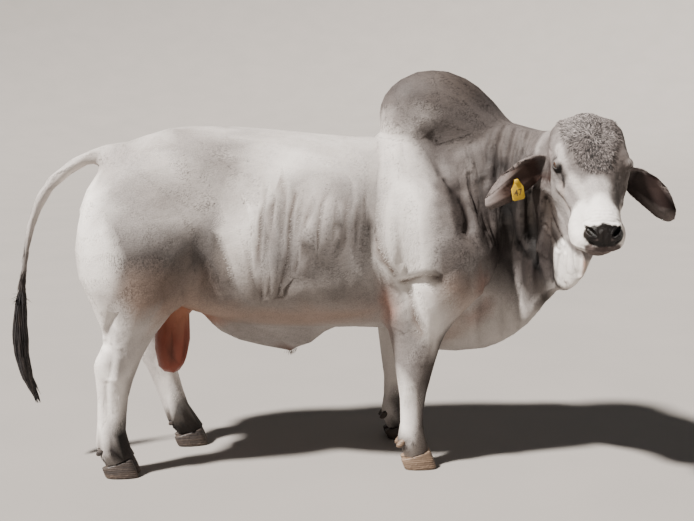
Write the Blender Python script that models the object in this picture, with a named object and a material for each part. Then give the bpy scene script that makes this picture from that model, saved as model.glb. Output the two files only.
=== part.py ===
"""Brahman bull, standing, its head turned to its right and its tail lifted: a life-size museum model.

The flesh is modelled whole: lofts along the trunk, neck, dewlap, head, legs and tail are fused,
softened and pressed into shape by strokes for muscles and folds. Thin cuts then part it into named
pieces. Ears, eyes, claws, dewclaws, the tail's hair and the ear tag are pieces of their own.

Metres. +X runs to the bull's front, +Y to its left, +Z up. The median plane of the trunk is y = 0
while the pieces are made; the empty "stance" then sets the origin under the middle of the model.
"""

import math
from typing import NamedTuple

import bmesh
import bpy
import numpy as np
from mathutils import Matrix, Vector

# Driving sizes
GAP = 0.0003            # between pieces that meet
VOXEL = 0.008           # fineness of the fused flesh
FLESH_FACES = 6100      # triangles kept for the flesh
RING_SIDES = 40
EAR_SIDES = 14
EYE_RADIUS = 0.021
LID = 0.0045            # thickness of the eyelids
LID_LONG = 0.0175       # half the length of the opening between them
LID_UPPER = 0.0095
LID_LOWER = 0.0070
HOOF_HEIGHT = 0.072
CLAW_LENGTH = 0.142
CLAW_WIDTH = 0.057
TAG_THICKNESS = 0.003


class Slice(NamedTuple):
    """An upright section of the trunk, neck, dewlap or hump, square to a path seen from above."""

    x: float
    y: float
    heading: float      # degrees; 0 looks forward, -90 to the bull's right
    top: float
    bottom: float
    half: float         # half its width
    widest: float       # height of the widest place
    upper: float        # 2 is an ellipse, more is squarer
    lower: float


class LegSlice(NamedTuple):
    """A level section of a leg."""

    z: float
    rear: float
    front: float
    y: float            # distance from the median plane
    half: float
    shape: float        # 2 is an ellipse, more is squarer


class HeadSlice(NamedTuple):
    """A section of the head, square to the line from poll to muzzle."""

    along: float
    brow: float         # height of the face above that line
    jaw: float          # height of the underside
    half: float
    widest: float
    upper: float
    lower: float


class TailPoint(NamedTuple):
    """A place on the middle line of the tail."""

    x: float
    y: float
    z: float
    half: float


class EarShape(NamedTuple):
    """A section across an ear."""

    along: float        # 0 at the root, 1 at the tip
    half: float
    camber: float       # how deep the cup is
    thick: float


class Ear(NamedTuple):
    """Where an ear runs, as three points of a bend, and which way its cup looks."""

    root: tuple
    bend: tuple
    tip: tuple
    looks: tuple


class Foot(NamedTuple):
    """Where a hoof stands."""

    name: str
    x: float
    y: float
    turn: float         # degrees that the toes point outwards


class Cut(NamedTuple):
    """A flat cut, GAP wide, that parts one piece in two."""

    piece: str
    new: str            # the piece on the side that the cut looks to
    at: tuple
    looks: tuple
    across: float       # half its size
    up: float


class Stroke(NamedTuple):
    """A soft ridge, or a groove where rise is below zero, along a line of points."""

    width: float
    rise: float
    line: tuple


TRUNK = (
    Slice(-1.150, 0, 0, 1.150, 0.95, 0.060, 1.05, 2.2, 2.2),
    Slice(-1.110, 0, 0, 1.225, 0.87, 0.125, 1.08, 2.3, 2.2),
    Slice(-1.050, 0, 0, 1.315, 0.81, 0.175, 1.11, 2.3, 2.2),
    Slice(-0.980, 0, 0, 1.385, 0.77, 0.210, 1.14, 2.4, 2.1),
    Slice(-0.900, 0, 0, 1.433, 0.75, 0.238, 1.16, 2.5, 2.1),
    Slice(-0.750, 0, 0, 1.478, 0.71, 0.268, 1.15, 2.6, 2.1),
    Slice(-0.600, 0, 0, 1.486, 0.655, 0.285, 1.08, 2.6, 2.1),
    Slice(-0.420, 0, 0, 1.478, 0.614, 0.318, 0.98, 2.3, 2.1),
    Slice(-0.220, 0, 0, 1.463, 0.600, 0.350, 0.94, 2.1, 2.1),
    Slice(0.000, 0, 0, 1.443, 0.598, 0.352, 0.94, 2.0, 2.1),
    Slice(0.200, 0, 0, 1.440, 0.586, 0.318, 0.95, 1.9, 2.1),
    Slice(0.380, 0, 0, 1.447, 0.590, 0.275, 0.98, 1.8, 2.1),
    Slice(0.540, 0, 0, 1.430, 0.660, 0.225, 1.02, 1.8, 2.0),
    Slice(0.660, 0, 0, 1.380, 0.780, 0.150, 1.06, 2.0, 2.0),
)
NECK = (
    Slice(0.30, 0.000, 0, 1.430, 0.66, 0.215, 1.04, 1.9, 2.0),
    Slice(0.48, -0.010, -8, 1.470, 0.70, 0.200, 1.08, 1.9, 2.0),
    Slice(0.63, -0.050, -22, 1.512, 0.77, 0.172, 1.12, 1.9, 2.0),
    Slice(0.74, -0.125, -42, 1.490, 0.85, 0.150, 1.16, 1.9, 2.0),
    Slice(0.81, -0.215, -60, 1.470, 0.92, 0.138, 1.20, 1.9, 2.0),
    Slice(0.86, -0.310, -74, 1.470, 0.97, 0.130, 1.24, 1.9, 2.0),
    Slice(0.89, -0.400, -82, 1.450, 1.02, 0.118, 1.25, 2.0, 2.0),
)
DEWLAP = (
    Slice(0.24, 0.000, 0, 0.75, 0.545, 0.070, 0.64, 2.0, 1.8),
    Slice(0.38, 0.000, 0, 0.82, 0.472, 0.088, 0.64, 2.0, 1.8),
    Slice(0.52, -0.010, -5, 0.92, 0.468, 0.098, 0.66, 2.0, 1.8),
    Slice(0.63, -0.040, -22, 0.98, 0.485, 0.090, 0.72, 2.0, 1.8),
    Slice(0.70, -0.095, -42, 1.02, 0.530, 0.078, 0.78, 2.0, 1.8),
    Slice(0.755, -0.175, -60, 1.04, 0.600, 0.064, 0.84, 2.0, 1.8),
    Slice(0.785, -0.270, -74, 1.05, 0.680, 0.052, 0.90, 2.0, 1.8),
    Slice(0.810, -0.360, -80, 1.14, 0.765, 0.048, 0.98, 1.8, 1.8),
    Slice(0.825, -0.440, -80, 1.20, 0.815, 0.048, 1.02, 1.8, 1.8),
    Slice(0.845, -0.530, -82, 1.17, 0.835, 0.044, 1.03, 1.8, 1.8),
    Slice(0.866, -0.600, -84, 1.13, 0.890, 0.036, 1.03, 1.8, 1.8),
    Slice(0.880, -0.650, -84, 1.10, 0.975, 0.026, 1.04, 1.8, 1.8),
)
HUMP = (
    Slice(0.140, 0, 0, 1.560, 1.480, 0.045, 1.53, 2.0, 2.0),
    Slice(0.160, 0, 0, 1.612, 1.440, 0.088, 1.53, 2.0, 2.0),
    Slice(0.210, 0, 0, 1.672, 1.380, 0.122, 1.54, 2.1, 2.0),
    Slice(0.285, 0, 0, 1.710, 1.350, 0.140, 1.54, 2.1, 2.0),
    Slice(0.375, 0, 0, 1.727, 1.340, 0.146, 1.53, 2.1, 2.0),
    Slice(0.470, -0.002, -4, 1.711, 1.340, 0.140, 1.52, 2.0, 2.0),
    Slice(0.560, -0.008, -8, 1.665, 1.340, 0.126, 1.48, 2.0, 2.0),
    Slice(0.640, -0.020, -14, 1.596, 1.330, 0.108, 1.44, 2.0, 2.0),
    Slice(0.700, -0.035, -20, 1.520, 1.320, 0.085, 1.40, 2.0, 2.0),
    Slice(0.750, -0.060, -26, 1.460, 1.330, 0.050, 1.38, 2.0, 2.0),
)
SHEATH = (
    Slice(-0.640, 0, 0, 0.74, 0.645, 0.040, 0.70, 2.0, 1.7),
    Slice(-0.570, 0, 0, 0.74, 0.580, 0.058, 0.68, 2.0, 1.7),
    Slice(-0.480, 0, 0, 0.72, 0.532, 0.066, 0.65, 2.0, 1.6),
    Slice(-0.380, 0, 0, 0.70, 0.505, 0.062, 0.62, 2.0, 1.6),
    Slice(-0.280, 0, 0, 0.70, 0.486, 0.055, 0.60, 2.0, 1.6),
    Slice(-0.220, 0, 0, 0.70, 0.492, 0.050, 0.60, 2.0, 1.6),
    Slice(-0.160, 0, 0, 0.68, 0.512, 0.045, 0.60, 2.0, 1.7),
    Slice(-0.100, 0, 0, 0.68, 0.562, 0.036, 0.62, 2.0, 1.8),
    Slice(-0.020, 0, 0, 0.66, 0.600, 0.024, 0.63, 2.0, 1.8),
)
PREPUCE = (
    LegSlice(0.550, -0.285, -0.215, 0.0, 0.030, 2.0),
    LegSlice(0.505, -0.285, -0.222, 0.0, 0.028, 2.0),
    LegSlice(0.482, -0.276, -0.232, 0.0, 0.020, 2.0),
    LegSlice(0.474, -0.266, -0.242, 0.0, 0.011, 2.0),
)
# A lock of tail hair: along it, its width, half its thickness, how far out from the middle line
LOCK_PROFILE = (
    (0.00, 0.60, 0.0045, 0.10),
    (0.20, 1.00, 0.0045, 0.85),
    (0.50, 1.00, 0.0036, 1.00),
    (0.80, 0.60, 0.0025, 0.80),
    (1.00, 0.10, 0.0006, 0.55),
)
SCROTUM = (
    LegSlice(0.860, -0.860, -0.730, 0.0, 0.045, 2.0),
    LegSlice(0.760, -0.850, -0.710, 0.0, 0.048, 2.0),
    LegSlice(0.680, -0.845, -0.695, 0.0, 0.050, 2.0),
    LegSlice(0.600, -0.850, -0.690, 0.0, 0.064, 2.1),
    LegSlice(0.520, -0.856, -0.698, 0.0, 0.076, 2.2),
    LegSlice(0.450, -0.850, -0.715, 0.0, 0.070, 2.2),
    LegSlice(0.405, -0.825, -0.745, 0.0, 0.046, 2.1),
    LegSlice(0.394, -0.805, -0.765, 0.0, 0.022, 2.0),
)
HIND_LEG = (
    LegSlice(1.300, -1.030, -0.640, 0.120, 0.110, 2.2),
    LegSlice(1.150, -1.118, -0.600, 0.150, 0.145, 2.3),
    LegSlice(1.000, -1.148, -0.600, 0.165, 0.154, 2.3),
    LegSlice(0.880, -1.142, -0.625, 0.172, 0.144, 2.3),
    LegSlice(0.800, -1.115, -0.670, 0.178, 0.126, 2.2),
    LegSlice(0.720, -1.083, -0.735, 0.183, 0.104, 2.1),
    LegSlice(0.640, -1.056, -0.805, 0.186, 0.084, 2.0),
    LegSlice(0.575, -1.052, -0.850, 0.188, 0.066, 2.0),
    LegSlice(0.500, -1.093, -0.888, 0.190, 0.062, 2.0),
    LegSlice(0.430, -1.087, -0.920, 0.190, 0.058, 2.1),
    LegSlice(0.360, -1.084, -0.940, 0.190, 0.050, 2.1),
    LegSlice(0.270, -1.086, -0.954, 0.190, 0.046, 2.1),
    LegSlice(0.190, -1.091, -0.960, 0.190, 0.049, 2.1),
    LegSlice(0.135, -1.097, -0.950, 0.190, 0.056, 2.1),
    LegSlice(0.090, -1.080, -0.928, 0.190, 0.055, 2.2),
    LegSlice(0.045, -1.056, -0.908, 0.190, 0.056, 2.4),
    LegSlice(0.000, -1.040, -0.890, 0.190, 0.056, 2.4),
)
FORE_LEG = (
    LegSlice(1.280, 0.180, 0.480, 0.150, 0.060, 2.0),
    LegSlice(1.160, 0.150, 0.540, 0.185, 0.090, 2.1),
    LegSlice(1.040, 0.130, 0.610, 0.205, 0.105, 2.2),
    LegSlice(0.920, 0.120, 0.635, 0.218, 0.110, 2.2),
    LegSlice(0.810, 0.120, 0.590, 0.218, 0.104, 2.2),
    LegSlice(0.710, 0.138, 0.500, 0.213, 0.094, 2.2),
    LegSlice(0.620, 0.156, 0.425, 0.208, 0.081, 2.1),
    LegSlice(0.550, 0.172, 0.388, 0.205, 0.073, 2.1),
    LegSlice(0.470, 0.186, 0.370, 0.203, 0.067, 2.1),
    LegSlice(0.400, 0.196, 0.352, 0.202, 0.065, 2.3),
    LegSlice(0.340, 0.206, 0.334, 0.202, 0.057, 2.2),
    LegSlice(0.270, 0.213, 0.321, 0.201, 0.047, 2.1),
    LegSlice(0.190, 0.210, 0.320, 0.200, 0.046, 2.1),
    LegSlice(0.135, 0.199, 0.330, 0.200, 0.054, 2.1),
    LegSlice(0.090, 0.214, 0.345, 0.200, 0.053, 2.2),
    LegSlice(0.045, 0.232, 0.365, 0.200, 0.056, 2.4),
    LegSlice(0.000, 0.246, 0.382, 0.200, 0.056, 2.4),
)
# How far forward the legs step, by height
NO_STEP = ((0.0, 0.0), (1.0, 0.0))
LEFT_HIND_STEP = (
    (0.0, 0.285), (0.15, 0.255), (0.30, 0.195), (0.50, 0.11), (0.65, 0.06), (0.85, 0.02), (1.0, 0.0),
)
LEFT_FORE_STEP = ((0.0, -0.025), (0.4, -0.02), (0.8, 0.0))

TAIL = (
    TailPoint(-0.900, 0, 1.380, 0.045),
    TailPoint(-0.980, 0, 1.374, 0.048),
    TailPoint(-1.050, 0, 1.364, 0.043),
    TailPoint(-1.128, 0, 1.342, 0.034),
    TailPoint(-1.206, 0, 1.293, 0.032),
    TailPoint(-1.277, 0, 1.228, 0.030),
    TailPoint(-1.328, 0, 1.145, 0.027),
    TailPoint(-1.364, 0, 1.050, 0.023),
    TailPoint(-1.386, 0, 0.950, 0.019),
    TailPoint(-1.404, 0, 0.850, 0.017),
    TailPoint(-1.416, 0, 0.760, 0.018),
    TailPoint(-1.424, 0, 0.690, 0.018),
)
TAIL_END = (-1.416, 0, 0.7598)
SWITCH = (
    TailPoint(-1.416, 0, 0.759, 0.0180),
    TailPoint(-1.424, 0, 0.690, 0.0200),
    TailPoint(-1.430, 0, 0.620, 0.0230),
    TailPoint(-1.430, 0, 0.540, 0.0220),
    TailPoint(-1.422, 0, 0.460, 0.0170),
    TailPoint(-1.408, 0, 0.400, 0.0080),
)
# The middle line that the locks of the switch follow, from the first hair to the tips
SWITCH_RUN = ((-1.418, 0.740), (-1.430, 0.620), (-1.430, 0.500), (-1.410, 0.390), (-1.366, 0.272))
LOCKS = 14

HEAD_AT = (0.925, -0.424, 1.505)
HEAD_HEADING = -97.4
HEAD_DROP = 41.0
HEAD_ROLL = 0.5
HEAD = (
    HeadSlice(-0.075, -0.040, -0.180, 0.070, -0.11, 2.0, 2.0),
    HeadSlice(-0.040, 0.000, -0.225, 0.112, -0.09, 2.0, 2.0),
    HeadSlice(0.010, 0.026, -0.258, 0.140, -0.07, 2.1, 1.9),
    HeadSlice(0.070, 0.038, -0.275, 0.153, -0.06, 2.2, 1.9),
    HeadSlice(0.140, 0.040, -0.285, 0.156, -0.06, 2.3, 2.0),
    HeadSlice(0.210, 0.028, -0.284, 0.149, -0.08, 2.4, 2.4),
    HeadSlice(0.270, 0.012, -0.280, 0.127, -0.13, 2.2, 2.8),
    HeadSlice(0.340, 0.000, -0.268, 0.106, -0.15, 2.2, 3.0),
    HeadSlice(0.420, -0.008, -0.242, 0.092, -0.14, 2.3, 2.8),
    HeadSlice(0.490, -0.012, -0.196, 0.086, -0.12, 2.4, 2.6),
    HeadSlice(0.540, -0.022, -0.160, 0.084, -0.10, 2.5, 2.4),
    HeadSlice(0.573, -0.044, -0.147, 0.071, -0.095, 2.4, 2.2),
    HeadSlice(0.590, -0.068, -0.130, 0.046, -0.10, 2.2, 2.2),
)
# The left eye, in the head's own axes
EYE_AT = (0.210, 0.1315, -0.029)
EYE_LOOKS = (0.40, 0.88, 0.25)
EYE_CORNER = (0.92, 0.0, -0.34)

EAR = (
    EarShape(-0.10, 0.016, 0.012, 0.026),
    EarShape(0.00, 0.026, 0.020, 0.030),
    EarShape(0.10, 0.043, 0.034, 0.022),
    EarShape(0.25, 0.063, 0.036, 0.014),
    EarShape(0.45, 0.070, 0.029, 0.009),
    EarShape(0.65, 0.066, 0.020, 0.007),
    EarShape(0.82, 0.054, 0.013, 0.006),
    EarShape(0.92, 0.041, 0.008, 0.005),
    EarShape(0.98, 0.024, 0.004, 0.0045),
    EarShape(1.00, 0.008, 0.001, 0.003),
)
EARS = {
    "ear_right": Ear(
        (0.792, -0.395, 1.345),
        (0.663, -0.430, 1.309),
        (0.524, -0.440, 1.165),
        (-0.25, -0.93, -0.30),
    ),
    "ear_left": Ear(
        (1.070, -0.415, 1.301),
        (1.207, -0.440, 1.252),
        (1.284, -0.455, 1.108),
        (0.05, -0.96, -0.20),
    ),
}

FEET = (
    Foot("hind_right", -0.982, -0.190, -4),
    Foot("fore_right", 0.304, -0.200, -4),
    Foot("hind_left", -0.712, 0.190, 4),
    Foot("fore_left", 0.279, 0.200, 4),
)

CUTS = (
    Cut("flesh", "tail", (-1.078, 0, 1.364), (-1, 0, -0.25), 0.12, 0.060),
    Cut("flesh", "hump", (0.44, -0.01, 1.474), (-0.09, 0, 1), 0.25, 0.36),
    Cut("flesh", "scrotum", (-0.770, 0, 0.640), (0, 0, -1), 0.090, 0.12),
    Cut("flesh", "sheath", (-0.36, 0, 0.586), (0, 0, -1), 0.12, 0.40),
    Cut("flesh", "low_front", (0.53, -0.15, 0.822), (0.43, 0, -1), 0.62, 0.60),
    Cut("low_front", "fore_right_upper", (0.33, -0.160, 0.52), (-0.27, -0.963, 0), 0.36, 0.40),
    Cut("low_front", "fore_left_upper", (0.36, 0.112, 0.50), (0, 1, 0), 0.40, 0.60),
    Cut("flesh", "low_hind", (-0.885, 0, 0.832), (-0.62, 0, -1), 0.42, 0.50),
    Cut("low_hind", "hind_right_upper", (-0.90, 0, 0.55), (0, -1, 0), 0.60, 0.60),
    Cut("flesh", "forward", (0.655, -0.06, 1.20), (0.93, -0.37, 0), 0.60, 0.60),
    Cut("forward", "head", (0.888, -0.345, 1.30), (-0.05, -0.93, -0.20), 0.245, 0.52),
    Cut("fore_right_upper", "fore_right_lower", (0.27, -0.20, 0.400), (0, 0, -1), 0.3, 0.3),
    Cut("fore_left_upper", "fore_left_lower", (0.25, 0.20, 0.400), (0, 0, -1), 0.3, 0.3),
    Cut("hind_right_upper", "hind_right_lower", (-0.97, -0.19, 0.560), (0.2, 0, -1), 0.3, 0.3),
    Cut("low_hind", "hind_left_lower", (-0.87, 0.19, 0.560), (0.2, 0, -1), 0.3, 0.3),
    Cut("fore_right_lower", "fore_right_pastern", (0.27, -0.20, 0.168), (0, 0, -1), 0.3, 0.3),
    Cut("fore_left_lower", "fore_left_pastern", (0.25, 0.20, 0.168), (0, 0, -1), 0.3, 0.3),
    Cut("hind_right_lower", "hind_right_pastern", (-1.02, -0.19, 0.175), (0, 0, -1), 0.3, 0.3),
    Cut("hind_left_lower", "hind_left_pastern", (-0.77, 0.19, 0.175), (0, 0, -1), 0.3, 0.3),
)

# Drawn on both flanks as seen from the side: (x, z)
SIDE_STROKES = (
    Stroke(0.130, -0.016, ((-0.50, 1.25), (-0.47, 1.18))),
    Stroke(0.090, 0.016, ((-0.68, 1.36), (-0.66, 1.33))),
    Stroke(0.070, 0.010, ((-1.09, 1.24), (-1.08, 1.20))),
    Stroke(0.080, -0.012, ((-0.60, 1.15), (-0.60, 0.95), (-0.64, 0.80))),
    Stroke(0.050, 0.014, ((-0.74, 0.76), (-0.66, 0.72), (-0.54, 0.70))),
    Stroke(0.045, -0.008, ((-1.05, 1.15), (-1.05, 0.97), (-1.03, 0.82))),
    Stroke(0.120, 0.014, ((0.25, 1.38), (0.35, 1.15), (0.50, 0.95))),
    Stroke(0.060, -0.016, ((0.14, 1.38), (0.09, 1.15), (0.08, 0.98), (0.12, 0.82))),
    Stroke(0.120, 0.016, ((0.27, 1.00), (0.24, 0.90))),
    Stroke(0.050, 0.013, ((0.115, 1.01), (0.115, 0.95), (0.15, 0.90))),
    Stroke(0.060, 0.012, ((0.175, 0.72), (0.18, 0.66))),
    Stroke(0.045, -0.012, ((0.20, 0.86), (0.29, 0.84), (0.36, 0.86))),
    Stroke(0.050, 0.008, ((0.34, 0.62), (0.345, 0.52))),
    Stroke(0.045, 0.005, ((0.275, 0.43), (0.275, 0.40))),
    Stroke(0.022, -0.006, ((0.255, 0.36), (0.252, 0.19))),
    Stroke(0.040, -0.016, ((-0.985, 0.73), (-1.015, 0.65), (-1.035, 0.58))),
    Stroke(0.045, 0.006, ((-0.975, 0.52), (-0.985, 0.46))),
    Stroke(0.022, -0.006, ((-1.035, 0.42), (-1.045, 0.20))),
    Stroke(0.018, -0.006, ((-1.02, 0.50), (-1.04, 0.44))),
)

# Folds of loose skin where the head turns: on the right of the neck, throat and brisket
FOLDS = (
    Stroke(
        0.030, -0.010,
        ((0.68, -0.12, 1.49), (0.65, -0.15, 1.46), (0.63, -0.18, 1.39), (0.62, -0.21, 1.27)),
    ),
    Stroke(
        0.030, -0.010,
        ((0.71, -0.15, 1.48), (0.69, -0.19, 1.43), (0.67, -0.21, 1.36), (0.66, -0.22, 1.28)),
    ),
    Stroke(
        0.030, -0.010,
        ((0.76, -0.20, 1.46), (0.73, -0.24, 1.41), (0.71, -0.25, 1.36), (0.70, -0.26, 1.30)),
    ),
    Stroke(0.026, -0.008, ((0.79, -0.22, 1.46), (0.75, -0.26, 1.42), (0.74, -0.27, 1.36))),
    Stroke(
        0.055, -0.012,
        ((0.33, -0.13, 1.45), (0.37, -0.15, 1.36), (0.40, -0.20, 1.28), (0.45, -0.23, 1.22)),
    ),
    Stroke(
        0.040, -0.018,
        ((0.45, -0.23, 1.22), (0.48, -0.25, 1.16), (0.49, -0.28, 1.10), (0.47, -0.31, 1.04)),
    ),
    Stroke(0.050, 0.012, ((0.50, -0.24, 1.20), (0.53, -0.26, 1.12), (0.53, -0.28, 1.05))),
    Stroke(0.030, -0.012, ((0.52, -0.21, 1.24), (0.55, -0.24, 1.15), (0.57, -0.26, 1.06))),
    Stroke(0.045, 0.016, ((0.58, -0.20, 1.22), (0.60, -0.22, 1.12), (0.63, -0.23, 1.06))),
    Stroke(
        0.050, -0.020,
        ((0.65, -0.24, 1.18), (0.66, -0.24, 1.07), (0.68, -0.22, 0.96), (0.70, -0.21, 0.87)),
    ),
    Stroke(
        0.040, 0.022,
        ((0.70, -0.30, 1.20), (0.70, -0.29, 1.12), (0.72, -0.27, 1.02), (0.74, -0.28, 0.97)),
    ),
    Stroke(
        0.034, -0.020,
        ((0.73, -0.33, 1.21), (0.73, -0.32, 1.12), (0.75, -0.31, 1.02), (0.76, -0.34, 0.93)),
    ),
    Stroke(
        0.034, 0.018,
        ((0.74, -0.36, 1.23), (0.76, -0.37, 1.15), (0.77, -0.36, 1.07), (0.76, -0.37, 0.98)),
    ),
    Stroke(
        0.034, -0.014,
        ((0.77, -0.40, 1.19), (0.78, -0.41, 1.13), (0.78, -0.43, 1.05), (0.77, -0.42, 0.95)),
    ),
    Stroke(0.032, 0.014, ((0.79, -0.50, 1.00), (0.79, -0.49, 0.94), (0.80, -0.49, 0.86))),
    Stroke(0.030, -0.018, ((0.85, -0.63, 1.01), (0.85, -0.61, 0.92))),
    Stroke(0.026, 0.012, ((0.44, -0.32, 1.03), (0.47, -0.33, 0.99), (0.51, -0.33, 0.95))),
    Stroke(0.032, -0.012, ((0.65, -0.15, 0.73), (0.66, -0.14, 0.64), (0.67, -0.11, 0.55))),
    Stroke(0.032, -0.012, ((0.72, -0.24, 0.81), (0.71, -0.21, 0.72), (0.72, -0.16, 0.60))),
    Stroke(0.032, -0.012, ((0.56, -0.11, 0.64), (0.58, -0.07, 0.51))),
    Stroke(0.032, -0.012, ((0.83, -0.10, 1.00), (0.80, -0.09, 0.85), (0.77, -0.10, 0.68))),
    Stroke(0.032, -0.012, ((0.88, -0.26, 1.04), (0.86, -0.26, 0.92), (0.83, -0.27, 0.80))),
    Stroke(0.032, -0.010, ((0.90, -0.40, 1.05), (0.88, -0.40, 0.95), (0.86, -0.40, 0.86))),
)

# Drawn on the head in its own axes, and mirrored: (along, left, up)
HEAD_STROKES = (
    Stroke(0.075, 0.010, ((-0.02, 0, 0.02), (0.03, 0, 0.04))),
    Stroke(0.060, 0.006, ((0.00, 0.110, -0.02), (0.01, 0.125, -0.03))),
    Stroke(0.050, -0.006, ((0.10, 0.155, -0.03), (0.16, 0.155, -0.03))),
    Stroke(0.034, 0.013, ((0.190, 0.128, 0.004), (0.232, 0.140, 0.000), (0.272, 0.124, -0.014))),
    Stroke(0.024, 0.006, ((0.200, 0.140, -0.072), (0.240, 0.138, -0.076), (0.280, 0.115, -0.056))),
    Stroke(0.032, -0.007, ((0.285, 0.105, -0.008), (0.330, 0.095, -0.020))),
    Stroke(0.034, 0.008, ((0.260, 0.125, -0.100), (0.370, 0.100, -0.085))),
    Stroke(0.080, 0.012, ((0.130, 0.110, -0.170), (0.220, 0.100, -0.175))),
    Stroke(0.032, -0.008, ((0.280, 0.080, -0.150), (0.320, 0.070, -0.190))),
    Stroke(0.050, 0.004, ((0.300, 0, 0.005), (0.500, 0, -0.010))),
    Stroke(0.030, 0.005, ((0.575, 0.030, -0.100), (0.545, 0.070, -0.105), (0.490, 0.085, -0.105))),
    Stroke(0.026, 0.005, ((0.545, 0.062, -0.060), (0.560, 0.050, -0.050))),
    Stroke(0.020, 0.004, ((0.580, 0, -0.145), (0.560, 0.040, -0.148))),
)

# The lips are pushed over to the bull's right as it chews
LIP_STROKES = (
    Stroke(0.060, 0.022, ((0.450, -0.095, -0.105), (0.520, -0.090, -0.120))),
    Stroke(0.050, -0.012, ((0.530, 0.075, -0.140), (0.570, 0.045, -0.140))),
)


# The mouth's line and the left nostril, in the head's own axes: (along, left, up, half width)
MOUTH = (
    (0.455, 0.100, -0.134, 0.0020),
    (0.490, 0.095, -0.131, 0.0065),
    (0.545, 0.080, -0.128, 0.0070),
    (0.585, 0.045, -0.122, 0.0070),
    (0.602, 0.000, -0.116, 0.0065),
    (0.585, -0.045, -0.122, 0.0070),
    (0.545, -0.080, -0.128, 0.0070),
    (0.490, -0.095, -0.131, 0.0065),
    (0.455, -0.100, -0.134, 0.0020),
)
NOSTRIL = (
    (0.590, 0.033, -0.083, 0.0030),
    (0.588, 0.039, -0.079, 0.0080),
    (0.582, 0.048, -0.074, 0.0105),
    (0.573, 0.057, -0.072, 0.0085),
    (0.566, 0.064, -0.078, 0.0050),
    (0.562, 0.068, -0.088, 0.0020),
)
NOSTRIL_DEPTH = 0.005


def clear_scene():
    """Removes what the startup scene holds."""
    for old in list(bpy.data.objects):
        bpy.data.objects.remove(old)


def through(keys, count):
    """count rows read from a smooth curve that passes through every row of keys."""
    rows = np.array(keys, float)
    padded = np.vstack([2 * rows[0] - rows[1], rows, 2 * rows[-1] - rows[-2]])
    out = []
    for t in np.linspace(0, len(rows) - 1, count):
        i = min(int(t), len(rows) - 2)
        u = t - i
        before, a, b, after = padded[i:i + 4]
        slope_a, slope_b = (b - before) / 2, (after - a) / 2
        out.append(
            (2 * u**3 - 3 * u**2 + 1) * a
            + (u**3 - 2 * u**2 + u) * slope_a
            + (3 * u**2 - 2 * u**3) * b
            + (u**3 - u**2) * slope_b
        )
    return np.array(out)


def new_object(name, mesh):
    """An object of that mesh, linked to the scene."""
    made = bpy.data.objects.new(name, mesh)
    bpy.context.scene.collection.objects.link(made)
    return made


def loft(name, rings):
    """A closed solid through rings of points, with a flat face at each end."""
    shape = bmesh.new()
    loops = [[shape.verts.new(point) for point in ring] for ring in rings]
    for first, second in zip(loops, loops[1:]):
        for k in range(len(first)):
            after = (k + 1) % len(first)
            shape.faces.new((first[k], first[after], second[after], second[k]))
    shape.faces.new(loops[0])
    shape.faces.new(reversed(loops[-1]))
    bmesh.ops.triangulate(shape, faces=shape.faces, quad_method="FIXED", ngon_method="EAR_CLIP")
    bmesh.ops.recalc_face_normals(shape, faces=shape.faces)
    mesh = bpy.data.meshes.new(name)
    shape.to_mesh(mesh)
    shape.free()
    return new_object(name, mesh)


def superellipse(half, above, below, upper, lower, sides=RING_SIDES):
    """(across, up) points of a rounded section whose upper and lower halves have their own squareness."""
    points = []
    for k in range(sides):
        turn = 2 * math.pi * k / sides
        c, s = math.cos(turn), math.sin(turn)
        power, reach = (2 / upper, above) if s >= 0 else (2 / lower, below)
        across = half * math.copysign(abs(c) ** power, c)
        points.append((across, reach * math.copysign(abs(s) ** power, s)))
    return points


def upright_loft(name, slices, count):
    """A loft through Slices: the trunk, the neck, the hump, the dewlap and the sheath."""
    rings = []
    for row in through(slices, count):
        s = Slice(*row)
        heading = math.radians(s.heading)
        leftward = Vector((-math.sin(heading), math.cos(heading), 0))
        section = superellipse(s.half, s.top - s.widest, s.widest - s.bottom, s.upper, s.lower)
        centre = Vector((s.x, s.y, s.widest))
        rings.append([centre + leftward * across + Vector((0, 0, up)) for across, up in section])
    return loft(name, rings)


def step_at(steps, height):
    """How far forward a leg steps at that height."""
    heights, moves = zip(*steps)
    return np.interp(height, heights, moves)


def level_loft(name, slices, side, steps):
    """A leg, or another form that hangs down: side is 1 for the left and -1 for the right."""
    rings = []
    for row in through(slices, 3 * len(slices)):
        s = LegSlice(*row)
        middle = (s.rear + s.front) / 2 + float(step_at(steps, s.z))
        reach = (s.front - s.rear) / 2
        section = superellipse(reach, s.half, s.half, s.shape, s.shape)
        rings.append([Vector((middle + along, side * s.y + across, s.z)) for along, across in section])
    return loft(name, rings)


def tube_loft(name, points, count, sides=20, over=Vector((0, 1, 0))):
    """A round tube along a line of (x, y, z, radius). over is a direction that the line never takes."""
    rows = through(points, count)
    rings = []
    for i, row in enumerate(rows):
        ahead = Vector(rows[min(i + 1, count - 1)][:3]) - Vector(rows[max(i - 1, 0)][:3])
        up = ahead.cross(over).normalized()
        side = up.cross(ahead).normalized()
        ring = superellipse(row[3], row[3], row[3], 2, 2, sides)
        rings.append([Vector(row[:3]) + side * across + up * rise for across, rise in ring])
    return loft(name, rings)


def head_frame():
    """The head's own axes: x along the face to the muzzle, y to the head's left, z out of the brow."""
    heading = Matrix.Rotation(math.radians(HEAD_HEADING), 4, "Z")
    drop = Matrix.Rotation(math.radians(HEAD_DROP), 4, "Y")
    roll = Matrix.Rotation(math.radians(HEAD_ROLL), 4, "X")
    return Matrix.Translation(HEAD_AT) @ heading @ drop @ roll


def head_loft(name):
    """The head's mass, from the nape to the lips."""
    frame = head_frame()
    rings = []
    for row in through(HEAD, 3 * len(HEAD)):
        s = HeadSlice(*row)
        section = superellipse(s.half, s.brow - s.widest, s.widest - s.jaw, s.upper, s.lower)
        rings.append([frame @ Vector((s.along, across, s.widest + up)) for across, up in section])
    return loft(name, rings)


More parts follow.
